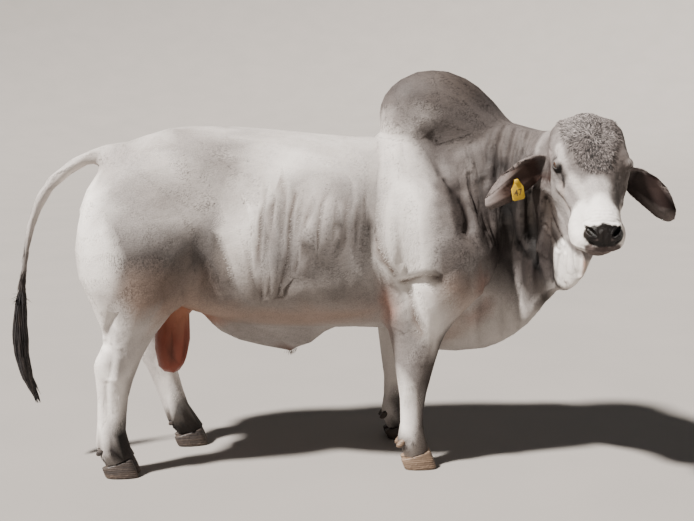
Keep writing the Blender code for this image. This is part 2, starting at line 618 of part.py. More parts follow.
def select_only(objects):
    """Selects these objects, the first of them active."""
    bpy.ops.object.select_all(action="DESELECT")
    for each in objects:
        each.select_set(True)
    bpy.context.view_layer.objects.active = objects[0]


def apply_modifiers(made):
    """Applies every modifier of the object, in order."""
    select_only([made])
    for modifier in list(made.modifiers):
        bpy.ops.object.modifier_apply(modifier=modifier.name)


def fused(name, pieces, voxel):
    """The pieces as one closed skin of even squares."""
    select_only(pieces)
    bpy.ops.object.join()
    made = bpy.context.view_layer.objects.active
    made.name = name
    remesh = made.modifiers.new("fuse", "REMESH")
    remesh.mode = "VOXEL"
    remesh.voxel_size = voxel
    remesh.adaptivity = 0
    apply_modifiers(made)
    return made


def points_of(made):
    """The object's vertex places as an array."""
    places = np.empty(3 * len(made.data.vertices))
    made.data.vertices.foreach_get("co", places)
    return places.reshape(-1, 3)


def normals_of(made):
    """The object's vertex normals as an array."""
    normals = np.empty(3 * len(made.data.vertices))
    made.data.vertex_normals.foreach_get("vector", normals)
    return normals.reshape(-1, 3)


def set_points(made, places):
    """Moves the object's vertices to these places."""
    made.data.vertices.foreach_set("co", places.astype(np.float32).ravel())
    made.data.update()


def softened(made, rounds, strength=0.5):
    """Evens out the surface: each vertex moves towards its neighbours' middle."""
    ends = np.empty(2 * len(made.data.edges), np.int64)
    made.data.edges.foreach_get("vertices", ends)
    first, second = ends.reshape(-1, 2).T
    places = points_of(made)
    count = np.bincount(ends, minlength=len(places))
    for _ in range(rounds):
        for axis in range(3):
            column = places[:, axis]
            total = np.bincount(first, column[second], len(column))
            total += np.bincount(second, column[first], len(column))
            places[:, axis] += strength * (total / count - column)
    set_points(made, places)


def distance_to(line, places):
    """Each place's distance from a line of points, in as many dimensions as the points have."""
    points = np.array(line, float)
    nearest = np.full(len(places), np.inf)
    for a, b in zip(points, points[1:]):
        run = b - a
        along = np.clip((places - a) @ run / (run @ run), 0, 1)
        gaps = np.linalg.norm(places - (a + along[:, None] * run), axis=1)
        nearest = np.minimum(nearest, gaps)
    return nearest


def pressed(made, stroke, places):
    """Presses one stroke into the object. places says where each vertex is as the stroke sees it."""
    near = np.clip(1 - (distance_to(stroke.line, places) / stroke.width) ** 2, 0, None) ** 2
    return near * stroke.rise


def shape_sides(flesh):
    """Presses the strokes of the flanks and legs, on both sides."""
    for stroke in SIDE_STROKES:
        places, normals = points_of(flesh), normals_of(flesh)
        left = places[:, 1] > 0
        seen = places[:, [0, 2]].copy()
        steps = np.where(
            seen[:, 0] > -0.3, step_at(LEFT_FORE_STEP, seen[:, 1]), step_at(LEFT_HIND_STEP, seen[:, 1])
        )
        seen[:, 0] -= np.where(left, steps, 0)
        outward = np.where(left, normals[:, 1], -normals[:, 1])
        facing = np.clip(outward * 2, 0, 1) * (places[:, 0] < 0.66)
        rise = pressed(flesh, stroke, seen) * facing
        set_points(flesh, places + normals * rise[:, None])


def shape_folds(flesh):
    """Presses the folds of loose skin."""
    for stroke in FOLDS:
        places, normals = points_of(flesh), normals_of(flesh)
        rise = pressed(flesh, stroke, places)
        set_points(flesh, places + normals * rise[:, None])


def refine_head(flesh):
    """Halves the size of the head's faces, so that it can take finer strokes."""
    inside = head_frame().inverted()
    shape = bmesh.new()
    shape.from_mesh(flesh.data)
    fine = {
        end for end in shape.verts
        if end.co.y < -0.48 and (inside @ end.co).x > 0.12 and end.co.z > 0.95
    }
    edges = [edge for edge in shape.edges if fine.issuperset(edge.verts)]
    bmesh.ops.subdivide_edges(shape, edges=edges, cuts=1, use_grid_fill=True)
    bmesh.ops.triangulate(shape, faces=[face for face in shape.faces if len(face.verts) > 4])
    shape.to_mesh(flesh.data)
    shape.free()


def shape_head(flesh):
    """Presses the strokes of the face on both its sides, and those of the lips."""
    inside = np.array(head_frame().inverted())
    for stroke in (*HEAD_STROKES, *LIP_STROKES):
        places, normals = points_of(flesh), normals_of(flesh)
        seen = places @ inside[:3, :3].T + inside[:3, 3]
        near = (seen[:, 0] > -0.12) & (places[:, 1] < -0.25)
        if stroke in HEAD_STROKES:
            seen[:, 1] = np.abs(seen[:, 1])
        rise = pressed(flesh, stroke, seen) * near
        set_points(flesh, places + normals * rise[:, None])


def eye_axes(sign):
    """An eye's middle, the way it looks, the way to its inner corner, and up, in the head's own axes."""
    mirror = Vector((1, sign, 1))
    looks = (Vector(EYE_LOOKS) * mirror).normalized()
    corner = Vector(EYE_CORNER) * mirror
    corner = (corner - looks * corner.dot(looks)).normalized()
    up = looks.cross(corner)
    return Vector(EYE_AT) * mirror, looks, corner, up if up.z > 0 else -up


def almond(sign):
    """The opening between an eye's lids, as a prism that reaches out of the eye."""
    frame = head_frame()
    middle, looks, corner, up = eye_axes(sign)
    rings = []
    for out, size in ((0.2, 0.9), (1.0, 1.0), (2.0, 1.35)):
        ring = []
        for k in range(14):
            turn = 2 * math.pi * k / 14
            tall = (LID_UPPER if math.sin(turn) > 0 else LID_LOWER) * abs(math.sin(turn)) ** 1.3
            high = math.copysign(tall, math.sin(turn))
            offset = corner * LID_LONG * math.cos(turn) + up * high
            ring.append(frame @ (middle + looks * EYE_RADIUS * out + offset * size))
        rings.append(ring)
    return loft("almond", rings)


def thinned(flesh):
    """Leaves the flesh the triangles it needs, more of them on the head."""
    places = points_of(flesh)
    inside = np.array(head_frame().inverted())
    along = places @ inside[0, :3] + inside[0, 3]
    fine = flesh.vertex_groups.new(name="fine")
    head = np.nonzero((along > -0.05) & (places[:, 1] < -0.35) & (places[:, 2] > 0.9))[0]
    fine.add(head.tolist(), 0.5, "REPLACE")
    fewer = flesh.modifiers.new("fewer", "DECIMATE")
    fewer.use_collapse_triangulate = True
    fewer.vertex_group = "fine"
    fewer.invert_vertex_group = True
    fewer.vertex_group_factor = 0.01
    fewer.ratio = FLESH_FACES / (2 * len(flesh.data.polygons))
    apply_modifiers(flesh)


def make_flesh():
    """The whole animal but its ears, eyes, claws, switch and tag, as one skin."""
    forms = [
        upright_loft("trunk", TRUNK, 48),
        upright_loft("neck", NECK, 28),
        upright_loft("dewlap", DEWLAP, 40),
        upright_loft("hump", HUMP, 30),
        upright_loft("sheath", SHEATH, 30),
        level_loft("prepuce", PREPUCE, 1, NO_STEP),
        level_loft("scrotum", SCROTUM, 1, NO_STEP),
        level_loft("hind_right", HIND_LEG, -1, NO_STEP),
        level_loft("hind_left", HIND_LEG, 1, LEFT_HIND_STEP),
        level_loft("fore_right", FORE_LEG, -1, NO_STEP),
        level_loft("fore_left", FORE_LEG, 1, LEFT_FORE_STEP),
        tube_loft("tail", TAIL, 40),
        head_loft("head"),
    ]
    flesh = fused("flesh", forms, VOXEL)
    softened(flesh, 14)
    shape_sides(flesh)
    softened(flesh, 2)
    shape_folds(flesh)
    refine_head(flesh)
    shape_head(flesh)
    thinned(flesh)
    return flesh


def boolean(made, other, operation, solver="MANIFOLD"):
    """Applies a Boolean to the object, then removes the other."""
    step = made.modifiers.new("cut", "BOOLEAN")
    step.operation = operation
    step.solver = solver
    step.use_self = solver == "EXACT"
    step.object = other
    apply_modifiers(made)
    bpy.data.objects.remove(other)


def slab(cut):
    """The thin box of material that a cut takes away."""
    looks = Vector(cut.looks).normalized()
    side = looks.cross(Vector((0, 0, 1)))
    side = Vector((0, 1, 0)) if side.length < 0.01 else side.normalized()
    rise = looks.cross(side)
    turned = Matrix((side, rise, looks)).transposed().to_4x4()
    sizes = Matrix.Diagonal((2 * cut.across, 2 * cut.up, GAP, 1))
    shape = bmesh.new()
    bmesh.ops.create_cube(shape, size=1, matrix=Matrix.Translation(cut.at) @ turned @ sizes)
    mesh = bpy.data.meshes.new("slab")
    shape.to_mesh(mesh)
    shape.free()
    return new_object("slab", mesh)


def loose_parts(made):
    """The object's closed surfaces as objects, largest first; the smaller crumbs are removed."""
    select_only([made])
    bpy.ops.mesh.separate(type="LOOSE")
    parts = sorted(bpy.context.selected_objects, key=lambda each: -len(each.data.vertices))
    return parts


def middle_of(made):
    """The middle of the object's vertices."""
    return Vector(points_of(made).mean(axis=0))


def part_at(pieces, cut):
    """Makes one cut: the piece that keeps its name lies behind the cut and the new one in front."""
    boolean(pieces[cut.piece], slab(cut), "DIFFERENCE")
    parts = loose_parts(pieces[cut.piece])
    if len(parts) < 2:
        raise ValueError(f"no {cut.new} was parted from {cut.piece}")
    for crumb in parts[2:]:
        bpy.data.objects.remove(crumb)
    looks = Vector(cut.looks)
    behind, front = sorted(parts[:2], key=lambda each: middle_of(each).dot(looks))
    pieces[cut.piece] = behind
    pieces[cut.new] = front


def along_bend(ear, t):
    """The place and the heading on an ear's bend; below 0 it runs straight back into the head."""
    root, bend, tip = (Vector(point) for point in (ear.root, ear.bend, ear.tip))
    held = max(t, 0)
    place = root * (1 - held) ** 2 + bend * 2 * held * (1 - held) + tip * held**2
    ahead = (bend - root) * (1 - held) + (tip - bend) * held
    if t < 0:
        place = root + (bend - root) * 2 * t
    return place, ahead.normalized()


def swollen(made, by):
    """The same solid, grown along its normals: the pocket that holds it with room all round."""
    set_points(made, points_of(made) + normals_of(made) * by)
    return made


def ear_solid(name, ear):
    """A cupped ear."""
    rings = []
    for row in through(EAR, 14):
        s = EarShape(*row)
        place, ahead = along_bend(ear, s.along)
        across = ahead.cross(Vector(ear.looks)).normalized()
        looks = across.cross(ahead)
        ring = []
        for k in range(EAR_SIDES):
            turn = 2 * math.pi * k / EAR_SIDES
            over = math.cos(turn)
            cup = -s.camber * (1 - over * over) - s.thick * 0.5
            skin = s.thick * 0.5 * math.sin(turn)
            ring.append(place + across * s.half * over + looks * (cup + skin))
        rings.append(ring)
    return loft(name, rings)


def sphere(name, centre, radius):
    """A round ball."""
    shape = bmesh.new()
    place = Matrix.Translation(centre)
    bmesh.ops.create_uvsphere(shape, u_segments=14, v_segments=9, radius=radius, matrix=place)
    mesh = bpy.data.meshes.new(name)
    shape.to_mesh(mesh)
    shape.free()
    return new_object(name, mesh)


def on_skin(head, points):
    """Rows of (along, left, up, half width) in the head's own axes, moved onto its skin."""
    frame = head_frame()
    rows = []
    for along, left, up, half in points:
        found, place, _, _ = head.closest_point_on_mesh(frame @ Vector((along, left, up)))
        rows.append((*place, half))
    return rows


def make_mouth(pieces):
    """Cuts the mouth's line and the two nostrils."""
    frame = head_frame().to_3x3()
    head = pieces["head"]
    cuts = [tube_loft("mouth", on_skin(head, MOUTH), 17, 5, frame @ Vector((0, 0, 1)))]
    for sign in (1, -1):
        nostril = [(along, sign * left, up, half) for along, left, up, half in NOSTRIL]
        inwards = frame @ Vector((-1, 0, 0)) * NOSTRIL_DEPTH
        rows = [(*(Vector(row[:3]) + inwards), row[3]) for row in on_skin(head, nostril)]
        cuts.append(tube_loft("nostril", rows, 9, 8, frame @ Vector((1, 0, 0.2))))
    for cut in cuts:
        boolean(head, cut, "DIFFERENCE")


def make_eyes(pieces):
    """Seats the eyes behind their lids."""
    for side, sign in (("left", 1), ("right", -1)):
        place = head_frame() @ eye_axes(sign)[0]
        boolean(pieces["head"], sphere("lids", place, EYE_RADIUS + LID), "UNION")
        boolean(pieces["head"], almond(sign), "DIFFERENCE")
        boolean(pieces["head"], sphere("pocket", place, EYE_RADIUS + GAP), "DIFFERENCE")
        pieces[f"eye_{side}"] = sphere(f"eye_{side}", place, EYE_RADIUS)


def make_ears(pieces):
    """Seats the ears in the head and the neck."""
    for name, ear in EARS.items():
        for piece in ("head", "forward"):
            boolean(pieces[piece], swollen(ear_solid("pocket", ear), 2 * GAP), "DIFFERENCE")
        pieces[name] = ear_solid(name, ear)


def coronet(x):
    """The height at which hair ends and horn begins, x ahead of the hoof's middle."""
    return HOOF_HEIGHT + 0.30 * (x - 0.01)


def claw(name, foot, side):
    """One of a hoof's two claws: flat inside, round outside, a flat sole, a toe that leans back."""
    levels = ((0.0, 0.94, 0.0), (0.08, 1.0, 0.0), (0.5, 0.96, -0.010), (1.0, 0.90, -0.022))
    turned = Matrix.Rotation(math.radians(foot.turn), 4, "Z")
    rings = []
    for up, size, lean in levels:
        ring = []
        for k in range(18):
            turn = 2 * math.pi * k / 18
            x = size * CLAW_LENGTH / 2 * math.cos(turn)
            bulge = math.copysign(abs(math.sin(turn)) ** 0.8, math.sin(turn))
            inner = 0.0015 + 0.006 * max(0, math.cos(turn)) ** 2
            y = CLAW_WIDTH / 2 + size * CLAW_WIDTH / 2 * bulge * (1 - 0.12 * math.cos(turn))
            y = max(y, inner) * (1 if up < 0.5 else size / 0.96)
            y = max(y, 0.0015)
            top = coronet(x + lean) - GAP
            ring.append(Vector((foot.x, foot.y, 0)) + turned @ Vector((x + lean, side * y, up * top)))
        rings.append(ring)
    return loft(name, rings)


def make_feet(pieces):
    """Ends each pastern above its hoof and stands it on two claws."""
    for foot in FEET:
        pastern = f"{foot.name}_pastern"
        looks = Matrix.Rotation(math.radians(foot.turn), 3, "Z") @ Vector((0.30, 0, -1))
        top = Vector((foot.x, foot.y, coronet(0)))
        pieces[pastern].name = pastern
        part_at(pieces, Cut(pastern, "waste", tuple(top), tuple(looks), 0.3, 0.3))
        bpy.data.objects.remove(pieces.pop("waste"))
        for side, word in ((1, "left"), (-1, "right")):
            name = f"{foot.name}_claw_{word}"
            pieces[name] = claw(name, foot, side)
            dew = f"{foot.name}_dewclaw_{word}"
            place = Vector((foot.x - 0.085, foot.y + side * 0.026, 0.118))
            boolean(pieces[pastern], swollen(dewclaw("pocket", place), 2 * GAP), "DIFFERENCE")
            pieces[dew] = dewclaw(dew, place)


def dewclaw(name, place):
    """A small horn peg behind the fetlock that points down and back."""
    ahead = Vector((-0.75, 0, -0.66))
    up = ahead.cross(Vector((0, 1, 0)))
    rings = []
    for along, half in ((-0.024, 0.011), (0.0, 0.0155), (0.016, 0.0135), (0.028, 0.006)):
        ring = superellipse(half, half, half, 2, 2, 10)
        rings.append([place + ahead * along + Vector((0, 1, 0)) * a + up * b for a, b in ring])
    return loft(name, rings)


def lock(name, turn, start, reach, half, sway):
    """One flat lock of tail hair: rooted in the core, it bends along the switch and ends in a point."""
    run = through(SWITCH_RUN, 60)
    outward = Vector((math.cos(turn), math.sin(turn), 0))
    sideways = Vector((-math.sin(turn), math.cos(turn), 0))
    rings = []
    for t, wide, thick, away in LOCK_PROFILE:
        x, z = run[min(59, int(59 * (start + (1 - start) * reach * t)))]
        spread = 0.020 + 0.018 * math.sin(math.pi * min(1.0, start + t * reach)) if t > 0.9 else 0.026
        bow = away * spread
        centre = Vector((x, 0, z)) + outward * bow + sideways * sway * t * t
        flat = ((1, 0), (0, 1), (-1, 0), (0, -1))
        rings.append([centre + sideways * half * wide * a + outward * thick * b for a, b in flat])
    return loft(name, rings)


def make_switch(pieces):
    """The hair that ends the tail: a dense core and locks that overlap round it."""
    cut = Cut("tail", "waste", TAIL_END, (-0.1, 0, -1), 0.1, 0.1)
    part_at(pieces, cut)
    bpy.data.objects.remove(pieces.pop("waste"))
    core = tube_loft("tail_switch", SWITCH, 9, 10)
    random = np.random.default_rng(5)
    locks = bpy.data.collections.new("locks")
    bpy.context.scene.collection.children.link(locks)
    for k in range(LOCKS):
        turn = 2.4 * k
        start = 0.03 + 0.55 * (k / LOCKS) ** 1.2
        reach = random.uniform(0.72, 1.0)
        made = lock(f"lock_{k}", turn, start, reach, random.uniform(0.010, 0.015), random.uniform(-0.02, 0.02))
        bpy.context.scene.collection.objects.unlink(made)
        locks.objects.link(made)
    union = core.modifiers.new("join", "BOOLEAN")
    union.operation = "UNION"
    union.operand_type = "COLLECTION"
    union.solver = "EXACT"
    union.collection = locks
    union.use_self = True
    apply_modifiers(core)
    for made in list(locks.objects):
        bpy.data.objects.remove(made)
    bpy.data.collections.remove(locks)
    parts = loose_parts(core)
    for crumb in parts[1:]:
        bpy.data.objects.remove(crumb)
    pieces["tail_switch"] = parts[0]


def make_tag(pieces):
    """The yellow tag that hangs from its stud, low in the right ear's cup."""
    ear = EARS["ear_right"]
    place, ahead = along_bend(ear, 0.47)
    across = ahead.cross(Vector(ear.looks)).normalized()
    looks = across.cross(ahead)
    centre = place + looks * 0.0065 - Vector((0.023, 0, 0.043))
    outline = ((-0.020, -0.050), (0.020, -0.050), (0.027, -0.044), (0.027, 0.000), (0.010, 0.020),
               (0.008, 0.036), (-0.008, 0.036), (-0.010, 0.020), (-0.027, 0.000), (-0.027, -0.044))
    up = Vector((-0.20, -0.08, 0.975)).normalized()
    side = up.cross(looks).normalized()
    out = side.cross(up)
    rings = [[centre + side * u + up * v + out * w for u, v in outline] for w in (0.0, TAG_THICKNESS)]
    pieces["ear_tag"] = loft("ear_tag", rings)


def finish(name, colour, roughness):
    """A plain material."""
    made = bpy.data.materials.new(name)
    made.use_nodes = True
    shader = made.node_tree.nodes["Principled BSDF"]
    shader.inputs["Base Color"].default_value = (*colour, 1)
    shader.inputs["Roughness"].default_value = roughness
    shader.inputs["Metallic"].default_value = 0
    return made


COLOURS = {
    "eye": ((0.012, 0.009, 0.008), 0.12),
    "claw": ((0.10, 0.075, 0.06), 0.45),
    "dewclaw": ((0.08, 0.06, 0.05), 0.5),
    "hump": ((0.27, 0.25, 0.24), 0.85),
    "neck": ((0.36, 0.33, 0.31), 0.85),
    "head": ((0.42, 0.39, 0.37), 0.8),
    "switch": ((0.014, 0.013, 0.013), 0.6),
    "scrotum": ((0.33, 0.13, 0.08), 0.55),
    "sheath": ((0.62, 0.50, 0.43), 0.75),
    "ear_tag": ((0.72, 0.46, 0.03), 0.4),
    "ear": ((0.40, 0.33, 0.30), 0.75),
    "pastern": ((0.16, 0.15, 0.145), 0.8),
}


def dress(made):
    """Gives a piece its own finish."""
    colour, roughness = ((0.68, 0.64, 0.60), 0.8)
    for word, look in COLOURS.items():
        if word in made.name:
            colour, roughness = look
            break
    made.data.materials.clear()
    made.data.materials.append(finish(made.name, colour, roughness))
    made.data.shade_smooth()


def centre_stance(pieces):
    """Sets every piece on an empty that puts the origin under the middle of the model."""
    stance = bpy.data.objects.new("stance", None)
    bpy.context.scene.collection.objects.link(stance)
    for made in pieces.values():
        made.parent = stance
    every = np.vstack([points_of(made) for made in pieces.values()])
    middle = (every.min(axis=0) + every.max(axis=0)) / 2
    stance.location = (-middle[0], -middle[1], 0)


def main():
    """Builds every piece."""
    clear_scene()
    pieces = {"flesh": make_flesh()}
    for cut in CUTS:
        part_at(pieces, cut)
    make_mouth(pieces)
    make_eyes(pieces)
    make_ears(pieces)
    make_feet(pieces)
    make_switch(pieces)
    make_tag(pieces)
    renames = {"flesh": "torso", "forward": "neck", "low_front": "dewlap", "low_hind": "hind_left_upper"}
    for old, new in renames.items():
        pieces[new] = pieces.pop(old)
    for name, made in pieces.items():
        made.name = name
        dress(made)
    centre_stance(pieces)


main()
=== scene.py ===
"""Brahman bull, standing with its head turned to the right: the finished looks of a life-size still model.

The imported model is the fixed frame. One skin with folds, lids and lips takes the place of the flesh. Short
tufts lie over it, curls fill the forehead, long locks end the tail, and the eyes, hooves and ear tag are
pieces of their own. Lengths are in metres: +X to the bull's front, +Y to its left, +Z up.
"""

from __future__ import annotations

import logging
import math
from collections.abc import Callable
from dataclasses import dataclass, field
from enum import IntEnum
from typing import NamedTuple

import bpy
import numpy as np
from bpy.types import ID, Material, NodeSocket, Object
from mathutils import Matrix, Vector

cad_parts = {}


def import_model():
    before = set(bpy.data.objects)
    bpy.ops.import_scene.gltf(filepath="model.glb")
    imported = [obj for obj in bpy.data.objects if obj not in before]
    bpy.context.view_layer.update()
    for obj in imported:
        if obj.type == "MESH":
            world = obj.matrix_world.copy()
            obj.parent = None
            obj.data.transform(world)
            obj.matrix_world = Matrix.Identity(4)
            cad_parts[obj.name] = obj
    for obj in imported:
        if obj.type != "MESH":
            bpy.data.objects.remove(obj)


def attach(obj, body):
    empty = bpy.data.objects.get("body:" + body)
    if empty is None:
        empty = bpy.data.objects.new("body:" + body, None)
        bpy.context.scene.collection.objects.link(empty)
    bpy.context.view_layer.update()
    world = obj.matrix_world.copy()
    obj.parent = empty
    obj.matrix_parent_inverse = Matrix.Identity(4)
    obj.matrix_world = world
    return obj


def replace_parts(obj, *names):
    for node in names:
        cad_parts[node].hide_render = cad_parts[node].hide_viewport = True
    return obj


log = logging.getLogger("bull")

BODY = "root"
# From the trunk's own axes, with the median plane at y = 0, to the frame
STANCE = Vector((0.0759, 0.2362, 0.0))

HEAD_AT = Vector((0.925, -0.424, 1.505))
HEAD_HEADING = -97.4
HEAD_DROP = 41.0
HEAD_ROLL = 0.5
EYE_AT = Vector((0.21, 0.1315, -0.029))
EYE_LOOKS = Vector((0.4, 0.88, 0.25))
EYE_CORNER = Vector((0.92, 0.0, -0.34))
EYE_RADIUS = 0.021

LEGS = ("hind_right", "fore_right", "hind_left", "fore_left")
FLESH = (
    "torso", "hump", "neck", "dewlap", "head", "tail", "scrotum", "sheath",
    *(f"{leg}_{part}" for leg in LEGS for part in ("upper", "lower", "pastern")),
)

Array = np.ndarray


# --- Arithmetic on places ---


def head_frame() -> Matrix:
    """The head's own axes: x along the face to the muzzle, y to the head's left, z out of the brow.

    Returns:
        The matrix from the head's axes to the frame.
    """
    heading = Matrix.Rotation(math.radians(HEAD_HEADING), 4, "Z")
    drop = Matrix.Rotation(math.radians(HEAD_DROP), 4, "Y")
    roll = Matrix.Rotation(math.radians(HEAD_ROLL), 4, "X")
    return Matrix.Translation(HEAD_AT + STANCE) @ heading @ drop @ roll


def in_head(places: Array) -> Array:
    """Rows of x, y, z of the frame, in the head's own axes."""
    inside = np.array(head_frame().inverted())
    return places @ inside[:3, :3].T + inside[:3, 3]


def in_trunk(places: Array) -> Array:
    """Rows of x, y, z of the frame, from the trunk's own axes: y = 0 on its median plane."""
    return places - np.array(STANCE)


def mirrored(places: Array) -> Array:
    """Both sides laid on the left one: y without its sign."""
    return np.column_stack([places[:, 0], np.abs(places[:, 1]), places[:, 2]])


def distance_to(line: tuple, places: Array) -> Array:
    """How far each place lies from a line of points.

    Args:
        line: two or more points.
        places: rows with as many numbers as a point has.

    Returns:
        One distance a row.
    """
    points = np.array(line, float)
    if len(points) == 1:
        return np.linalg.norm(places - points[0], axis=1)
    nearest = np.full(len(places), np.inf)
    for start, end in zip(points, points[1:]):
        run = end - start
        along = np.clip((places - start) @ run / (run @ run), 0, 1)
        gaps = np.linalg.norm(places - (start + along[:, None] * run), axis=1)
        nearest = np.minimum(nearest, gaps)
    return nearest


def soft_noise(places: Array, scale: float | tuple, seed: int = 0) -> Array:
    """Smooth random values on a lattice.

    Args:
        places: rows of x, y, z.
        scale: lattice cells a metre, one number or one an axis.
        seed: picks another pattern.

    Returns:
        One value a row, from -1 to 1.
    """
    spots = places * np.array(scale, float) + 13.7 * seed
    cell = np.floor(spots).astype(np.int64)
    share = spots - cell
    share = share * share * (3 - 2 * share)
    total = np.zeros(len(places))
    for corner in ((x, y, z) for x in (0, 1) for y in (0, 1) for z in (0, 1)):
        at = cell + corner
        mixed = at[:, 0] * 73856093 ^ at[:, 1] * 19349663 ^ at[:, 2] * 83492791
        mixed = (mixed ^ (mixed >> 13)) * 1274126177 & 0x7FFFFFFF
        value = (mixed % 65537) / 32768.0 - 1
        total += value * np.prod(np.where(corner, share, 1 - share), axis=1)
    return total


def ramp(values: Array, low: float, high: float) -> Array:
    """A smooth step a value, from 0 at low to 1 at high."""
    share = np.clip((values - low) / (high - low), 0, 1)
    return share * share * (3 - 2 * share)


# --- Mesh handling ---


def select_only(*objects: Object) -> None:
    """Selects these objects, the first of them active.

    Args:
        objects: the objects to select.
    """
    bpy.ops.object.select_all(action="DESELECT")
    for each in objects:
        each.select_set(True)
    bpy.context.view_layer.objects.active = objects[0]


def shaped(made: Object, kind: str, **settings: object) -> None:
    """Applies one modifier to the object.

    Args:
        made: the object.
        kind: the modifier's type.
        settings: its properties.
    """
    modifier = made.modifiers.new(kind.lower(), kind)
    for name, value in settings.items():
        setattr(modifier, name, value)
    select_only(made)
    bpy.ops.object.modifier_apply(modifier=modifier.name)


def edit_all(made: Object, *steps: tuple) -> None:
    """Runs edit-mode operators on the whole mesh.

    Args:
        made: the object.
        steps: pairs of an operator of bpy.ops.mesh and its settings.
    """
    select_only(made)
    bpy.ops.object.mode_set(mode="EDIT")
    bpy.ops.mesh.select_all(action="SELECT")
    for name, settings in steps:
        getattr(bpy.ops.mesh, name)(**settings)
    bpy.ops.object.mode_set(mode="OBJECT")


def linked(name: str, data: ID) -> Object:
    """A new object of this data, in the scene."""
    made = bpy.data.objects.new(name, data)
    bpy.context.scene.collection.objects.link(made)
    return made


def copy_of(node: str, name: str) -> Object:
    """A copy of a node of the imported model, its loose triangles merged.

    Args:
        node: the node.
        name: the copy's name.

    Returns:
        The copy.
    """
    mesh = bpy.data.objects[node].data.copy()
    mesh.materials.clear()
    if "custom_normal" in mesh.attributes:
        mesh.attributes.remove(mesh.attributes["custom_normal"])
    made = linked(name, mesh)
    edit_all(made, ("remove_doubles", {"threshold": 1e-5}))
    return made


def joined(name: str, pieces: list[Object]) -> Object:
    """Several objects as one.

    Args:
        name: its name.
        pieces: the objects, which are used up.

    Returns:
        The one object.
    """
    select_only(*pieces)
    bpy.ops.object.join()
    made = bpy.context.view_layer.objects.active
    made.name = name
    made.data.name = name
    return made


def rows_of(items: object, name: str, width: int, kind: type = float) -> Array:
    """Reads one property of many mesh elements.

    Args:
        items: the elements.
        name: the property.
        width: how many numbers it has.
        kind: their type.

    Returns:
        A row an element.
    """
    flat = np.empty(width * len(items), kind)
    items.foreach_get(name, flat)
    return flat.reshape(-1, width)


def points_of(made: Object) -> Array:
    """The places of the object's vertices."""
    return rows_of(made.data.vertices, "co", 3)


def normals_of(made: Object) -> Array:
    """The normals of the object's vertices."""
    return rows_of(made.data.vertex_normals, "vector", 3)


def set_points(made: Object, places: Array) -> None:
    """Moves the object's vertices to these rows of x, y, z."""
    made.data.vertices.foreach_set("co", places.astype(np.float32).ravel())
    made.data.update()


def softened(made: Object, rounds: int, strength: Array | float) -> None:
    """Evens out the surface: each vertex moves towards its neighbours' middle.

    Args:
        made: the object.
        rounds: how many times.
        strength: the share of the way, one number or one a vertex.
    """
    ends = rows_of(made.data.edges, "vertices", 2, np.int64)
    first, second = ends.T
    places = points_of(made)
    count = np.maximum(np.bincount(ends.ravel(), minlength=len(places)), 1)
    for _ in range(rounds):
        for axis in range(3):
            column = places[:, axis]
            total = np.bincount(first, column[second], len(column))
            total += np.bincount(second, column[first], len(column))
            places[:, axis] += strength * (total / count - column)
    set_points(made, places)


def dressed(made: Object, finish: Material) -> Object:
    """Gives the object its one finish, shades it smooth and returns it."""
    made.data.materials.clear()
    made.data.materials.append(finish)
    select_only(made)
    bpy.ops.object.shade_smooth()
    return made


def set_colours(made: Object, name: str, colours: Array) -> None:
    """Stores a colour a vertex.

    Args:
        made: the object.
        name: the attribute.
        colours: rows of red, green, blue, as light adds up.
    """
    rows = np.ones((len(colours), 4), np.float32)
    rows[:, :3] = colours
    attribute = made.data.color_attributes.new(name, "FLOAT_COLOR", "POINT")
    attribute.data.foreach_set("color", rows.ravel())


# --- Shaders ---


class Wire:
    """A value in a shader. Python's arithmetic on it adds Math nodes."""

    def __init__(self, graph: Graph, socket: NodeSocket) -> None:
        """Keeps the socket that gives the value, and its graph."""
        self.graph = graph
        self.socket = socket

    def maths(self, operation: str, *values: Wire | float) -> Wire:
        """The result of a Math node with these inputs."""
        return self.graph.node("Math", {"operation": operation}, dict(enumerate(values)))

    def __add__(self, other: Wire | float) -> Wire:
        """The sum."""
        return self.maths("ADD", self, other)

    def __radd__(self, other: float) -> Wire:
        """The sum."""
        return self.maths("ADD", other, self)

    def __sub__(self, other: Wire | float) -> Wire:
        """The difference."""
        return self.maths("SUBTRACT", self, other)

    def __rsub__(self, other: float) -> Wire:
        """The difference."""
        return self.maths("SUBTRACT", other, self)

    def __mul__(self, other: Wire | float) -> Wire:
        """The product."""
        return self.maths("MULTIPLY", self, other)

    def __rmul__(self, other: float) -> Wire:
        """The product."""
        return self.maths("MULTIPLY", other, self)

    def step(self, low: float, high: float) -> Wire:
        """A smooth step of this value.

        Args:
            low: where it leaves 0.
            high: where it reaches 1.

        Returns:
            The step.
        """
        settings = {"interpolation_type": "SMOOTHSTEP"}
        sockets = {"Value": self, "From Min": low, "From Max": high}
        return self.graph.node("MapRange", settings, sockets)


